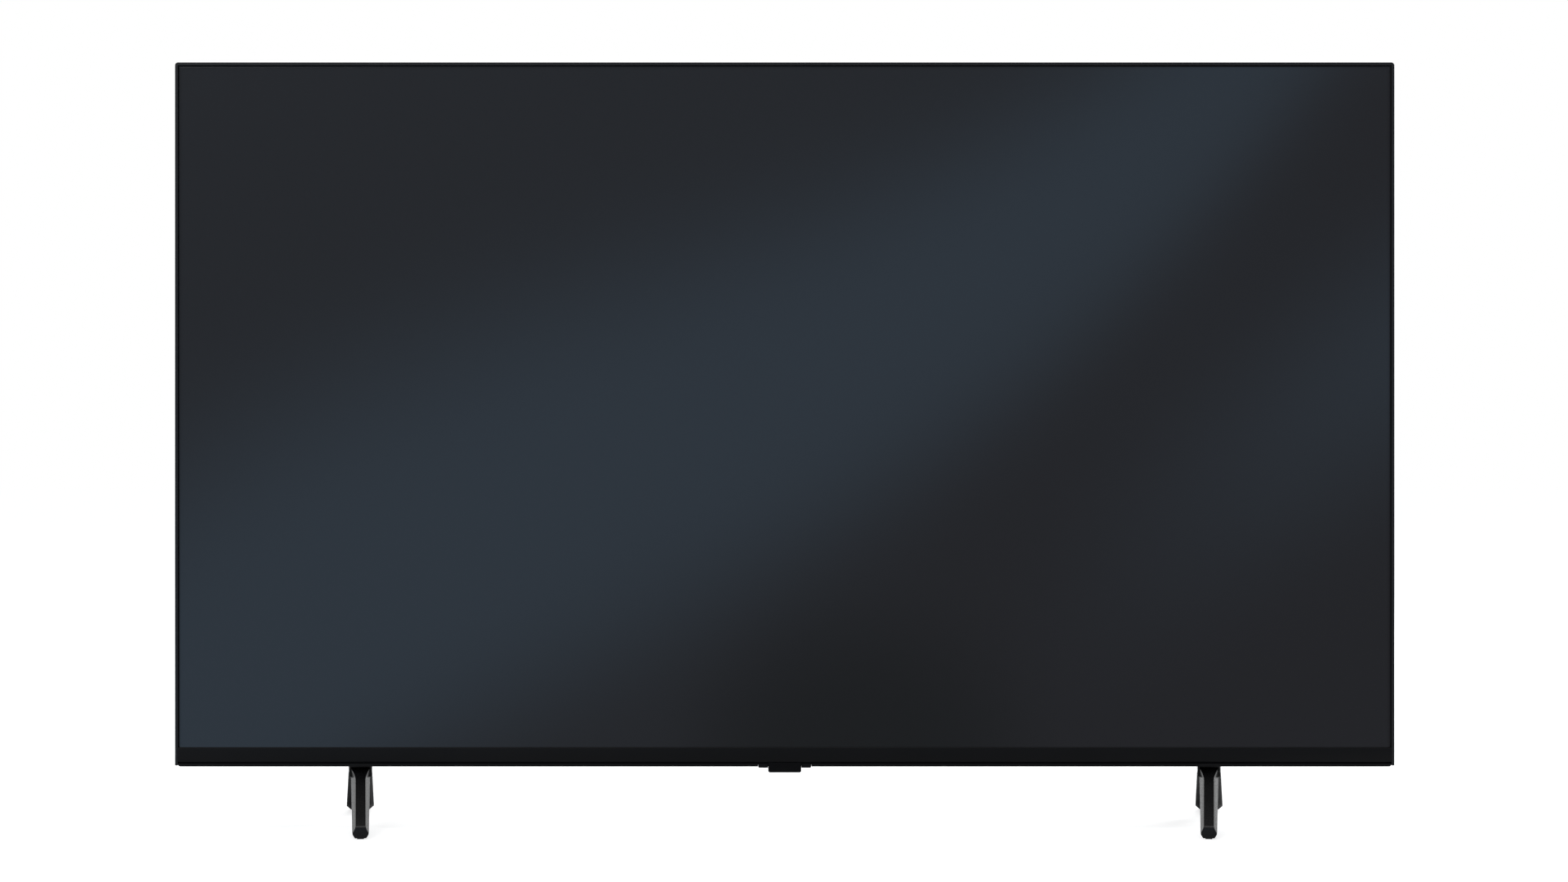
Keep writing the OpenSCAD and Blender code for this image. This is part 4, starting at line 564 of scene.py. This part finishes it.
def makeInsulators():  # white insulators in the ends of the aerial stubs
    look = insulatorLook
    mesh = bmesh.new()
    for x in look["stubs"]:
        addTurned(mesh, look["profile"], onSet(x, boardTop + look["face"], look["height"]), "Z")
    return addPiece("aerialInsulators", mesh, finishes["sheet_white"])


threadLook = {"pitch": 1.0, "start": -0.6, "root": 2.5, "crest": 2.2, "wall": 0.3, "turns": 20,
              "back": 80.0, "height": 272.0, "spread": 100.0}


def makeMountThreads():  # thread lands inside the wall mount posts
    look = threadLook
    mesh = bmesh.new()
    profile = []
    for i in range(look["turns"]):
        at = look["start"] - i * look["pitch"]
        profile += [(look["root"], at), (look["crest"], at - look["pitch"] / 2)]
    end = look["start"] - look["turns"] * look["pitch"]
    outer = look["root"] + look["wall"]
    profile += [(look["root"], end), (outer, end), (outer, look["start"])]
    for sideways in (-1, 1):
        for upwards in (-1, 1):
            centre = onSet(sideways * look["spread"], look["back"], look["height"] + upwards * look["spread"])
            addTurned(mesh, profile, centre, "Y")
    return addPiece("mountThreads", mesh, finishes["plated_steel"])


makeContacts()
makeRings()
makeInsulators()
makeMountThreads()
print("socket details made")


def addStage(name, mesh, material):
    data = bpy.data.meshes.new(name)
    mesh.to_mesh(data)
    mesh.free()
    item = bpy.data.objects.new(name, data)
    bpy.context.scene.collection.objects.link(item)
    item.data.materials.append(material)
    return item


def seenRays(start, kinds):  # 1 for the kinds of rays that show the white background
    wires = [start.node("ShaderNodeLightPath", out=kind) for kind in kinds]
    seen = wires[0]
    for wire in wires[1:]:
        seen = start.sum("MAXIMUM", seen, wire)
    return seen


worldLook = {"fill": (0.94, 0.97, 1.0, 1.0), "fillStrength": 0.55, "backdrop": (1.0, 1.0, 1.0, 1.0),
             "seen": ("Is Camera Ray", "Is Glossy Ray", "Is Transmission Ray")}


def makeWorld():
    look = worldLook
    world = bpy.data.worlds.new("studio")
    world.use_nodes = True
    tree = world.node_tree
    tree.nodes.clear()
    start = Wire(tree)
    fill = start.node("ShaderNodeBackground", None, {"Color": look["fill"], "Strength": look["fillStrength"]})
    white = start.node("ShaderNodeBackground", None, {"Color": look["backdrop"], "Strength": 1.0})
    mixed = start.node("ShaderNodeMixShader", None, {0: seenRays(start, look["seen"]), 1: fill, 2: white})
    start.node("ShaderNodeOutputWorld", None, {"Surface": mixed})
    bpy.context.scene.world = world


floorLook = {"size": 40.0, "drop": 0.0003, "pale": (0.82, 0.82, 0.82, 1.0), "lift": 0.74,
             "shaded": (0.5, 0.5, 0.5, 1.0), "seen": ("Is Camera Ray", "Is Transmission Ray")}


def makeFloor():  # white to the camera but for the shadow, plain pale to everything else
    look = floorLook
    material = bpy.data.materials.new("paleFloor")
    material.use_nodes = True
    tree = material.node_tree
    tree.nodes.clear()
    start = Wire(tree)
    plain = start.node("ShaderNodeBsdfDiffuse", None, {"Color": look["pale"]})
    shaded = start.node("ShaderNodeBsdfDiffuse", None, {"Color": look["shaded"]})
    lift = start.node("ShaderNodeEmission", None, {"Color": (1, 1, 1, 1), "Strength": look["lift"]})
    white = start.node("ShaderNodeAddShader", None, {0: lift, 1: shaded})
    mixed = start.node("ShaderNodeMixShader", None, {0: seenRays(start, look["seen"]), 1: plain, 2: white})
    start.node("ShaderNodeOutputMaterial", None, {"Surface": mixed})
    mesh = bmesh.new()
    bmesh.ops.create_grid(mesh, x_segments=1, y_segments=1, size=look["size"] / 2)
    bmesh.ops.translate(mesh, verts=mesh.verts, vec=(0, 0, -look["drop"]))
    addStage("floor", mesh, material)


viewLook = {"place": (-0.0007, -2.9361, 0.3888), "lens": 66.3, "sensor": 36.0}

# a grey sweep in front of the set, seen by reflections only: it keeps the screen dark, but for soft bands.
# Its values are in metres on the glass, across and up from the point that faces the camera
sweepLook = {"near": -0.42, "far": -4.6, "bottom": 0.001, "tall": 3.6, "wide": 7.0,
             "left": (0.4095, 0.4528, 0.5374, 1.0), "right": (0.3651, 0.3733, 0.4304, 1.0),
             "dim": (0.2435, 0.2656, 0.2863, 1.0), "band": (0.6263, 0.8514, 1.132, 1.0),
             "slope": (0.2037, 3, -1.911),  # turn from the left tone to the right one
             "centre": (0.0464, 0.46, 0.2697, 0.5981),  # curve of the band's middle
             "half": (0.1986, -0.1364, -0.03768), "thinnest": 0.03,  # curve of its half width
             "edge": (0.3401, 1.31, 1.189),  # full strength, and where it ends above and below
             "second": {"height": -0.3444, "slope": 0.7016, "half": 0.1928, "start": 0.1882, "rise": 0.4872,
                        "strength": 0.7493},
             "spot": {"across": 0.07594, "up": -0.3213, "wide": 0.1688, "high": 0.155, "reach": 1.6,
                      "strength": 0.978}}


def curveOf(value, factors):  # polynomial, constant first
    total = factors[-1]
    for factor in reversed(factors[:-1]):
        total = factor + value * total
    return total


def sweepColour(place):
    look = sweepLook
    x, y, z = (split(place, axis) for axis in "XYZ")
    reach = viewLook["place"][1] - glassFront
    spread = 1.0 + (y - glassFront) / reach
    across = (x - viewLook["place"][0]) / spread  # where the ray leaves the glass
    up = (z - viewLook["place"][2]) / spread
    half = place.sum("MAXIMUM", curveOf(across, look["half"]), look["thinnest"])
    off = (up - curveOf(across, look["centre"])) / half
    full, above, below = look["edge"]
    band = (1.0 - ease(off, full, above)) * (1.0 - ease(0.0 - off, full, below))
    beam = look["second"]
    aside = abs(up - beam["height"] - across * beam["slope"]) / beam["half"]
    second = ((1.0 - ease(aside, 0.0, 1.0)) * ease(across, beam["start"], beam["start"] + beam["rise"])
              * beam["strength"])
    offset, byAcross, byUp = look["slope"]
    side = ease(offset + across * byAcross + up * byUp, 0.0, 1.0)
    dark = look["spot"]
    sideways, upwards = (across - dark["across"]) / dark["wide"], (up - dark["up"]) / dark["high"]
    spot = (1.0 - ease(sideways * sideways + upwards * upwards, 0.0, dark["reach"])) * dark["strength"]
    colour = blendColour(side, look["left"], look["right"])
    colour = blendColour(spot, colour, look["dim"])
    return blendColour(place.sum("MAXIMUM", band, second), colour, look["band"])


def makeSweep():
    look = sweepLook
    material = bpy.data.materials.new("reflectionSweep")
    material.use_nodes = True
    tree = material.node_tree
    tree.nodes.clear()
    place = Wire(tree).node("ShaderNodeTexCoord", out="Object")
    glow = place.node("ShaderNodeEmission", None, {"Color": sweepColour(place), "Strength": 1.0})
    place.node("ShaderNodeOutputMaterial", None, {"Surface": glow})
    mesh = bmesh.new()
    corners = ((look["near"], look["bottom"]), (look["far"], look["bottom"]), (look["far"], look["tall"]))
    edge = [mesh.verts.new((-look["wide"], y, z)) for y, z in corners]
    rails = [mesh.edges.new((a, b)) for a, b in zip(edge, edge[1:])]
    made = bmesh.ops.extrude_edge_only(mesh, edges=rails)["geom"]
    moved = [v for v in made if isinstance(v, bmesh.types.BMVert)]
    bmesh.ops.translate(mesh, verts=moved, vec=(2 * look["wide"], 0, 0))
    sweep = addStage("reflectionSweep", mesh, material)
    sweep.visible_camera = False
    sweep.visible_diffuse = False
    sweep.visible_shadow = False
    sweep.visible_transmission = False


lampLook = {"aim": (0, 0, 0.4),
            "lamps": {"overhead": {"place": (0.0, 0.25, 3.3), "size": (3.2, 2.0), "power": 60.0},
                      "front": {"place": (-1.9, -3.4, 2.5), "size": (1.6, 1.6), "power": 45.0},
                      "rear": {"place": (2.6, 2.4, 2.3), "size": (1.6, 1.6), "power": 95.0}}}


def makeLamps():
    for name, look in lampLook["lamps"].items():
        data = bpy.data.lights.new(name, "AREA")
        data.shape = "RECTANGLE"
        data.size, data.size_y = look["size"]
        data.energy = look["power"]
        lamp = bpy.data.objects.new(name, data)
        lamp.location = look["place"]
        aim = Vector(lampLook["aim"]) - lamp.location
        lamp.rotation_euler = aim.to_track_quat("-Z", "Y").to_euler()
        bpy.context.scene.collection.objects.link(lamp)


def makeCamera():
    data = bpy.data.cameras.new("frontView")
    data.sensor_width = viewLook["sensor"]
    data.lens = viewLook["lens"]
    camera = bpy.data.objects.new("frontView", data)
    camera.location = viewLook["place"]
    camera.rotation_euler = (math.pi / 2, 0, 0)
    bpy.context.scene.collection.objects.link(camera)
    bpy.context.scene.camera = camera


makeWorld()
makeFloor()
makeSweep()
makeLamps()
makeCamera()
bpy.context.scene.view_settings.view_transform = "Standard"
print("studio made")
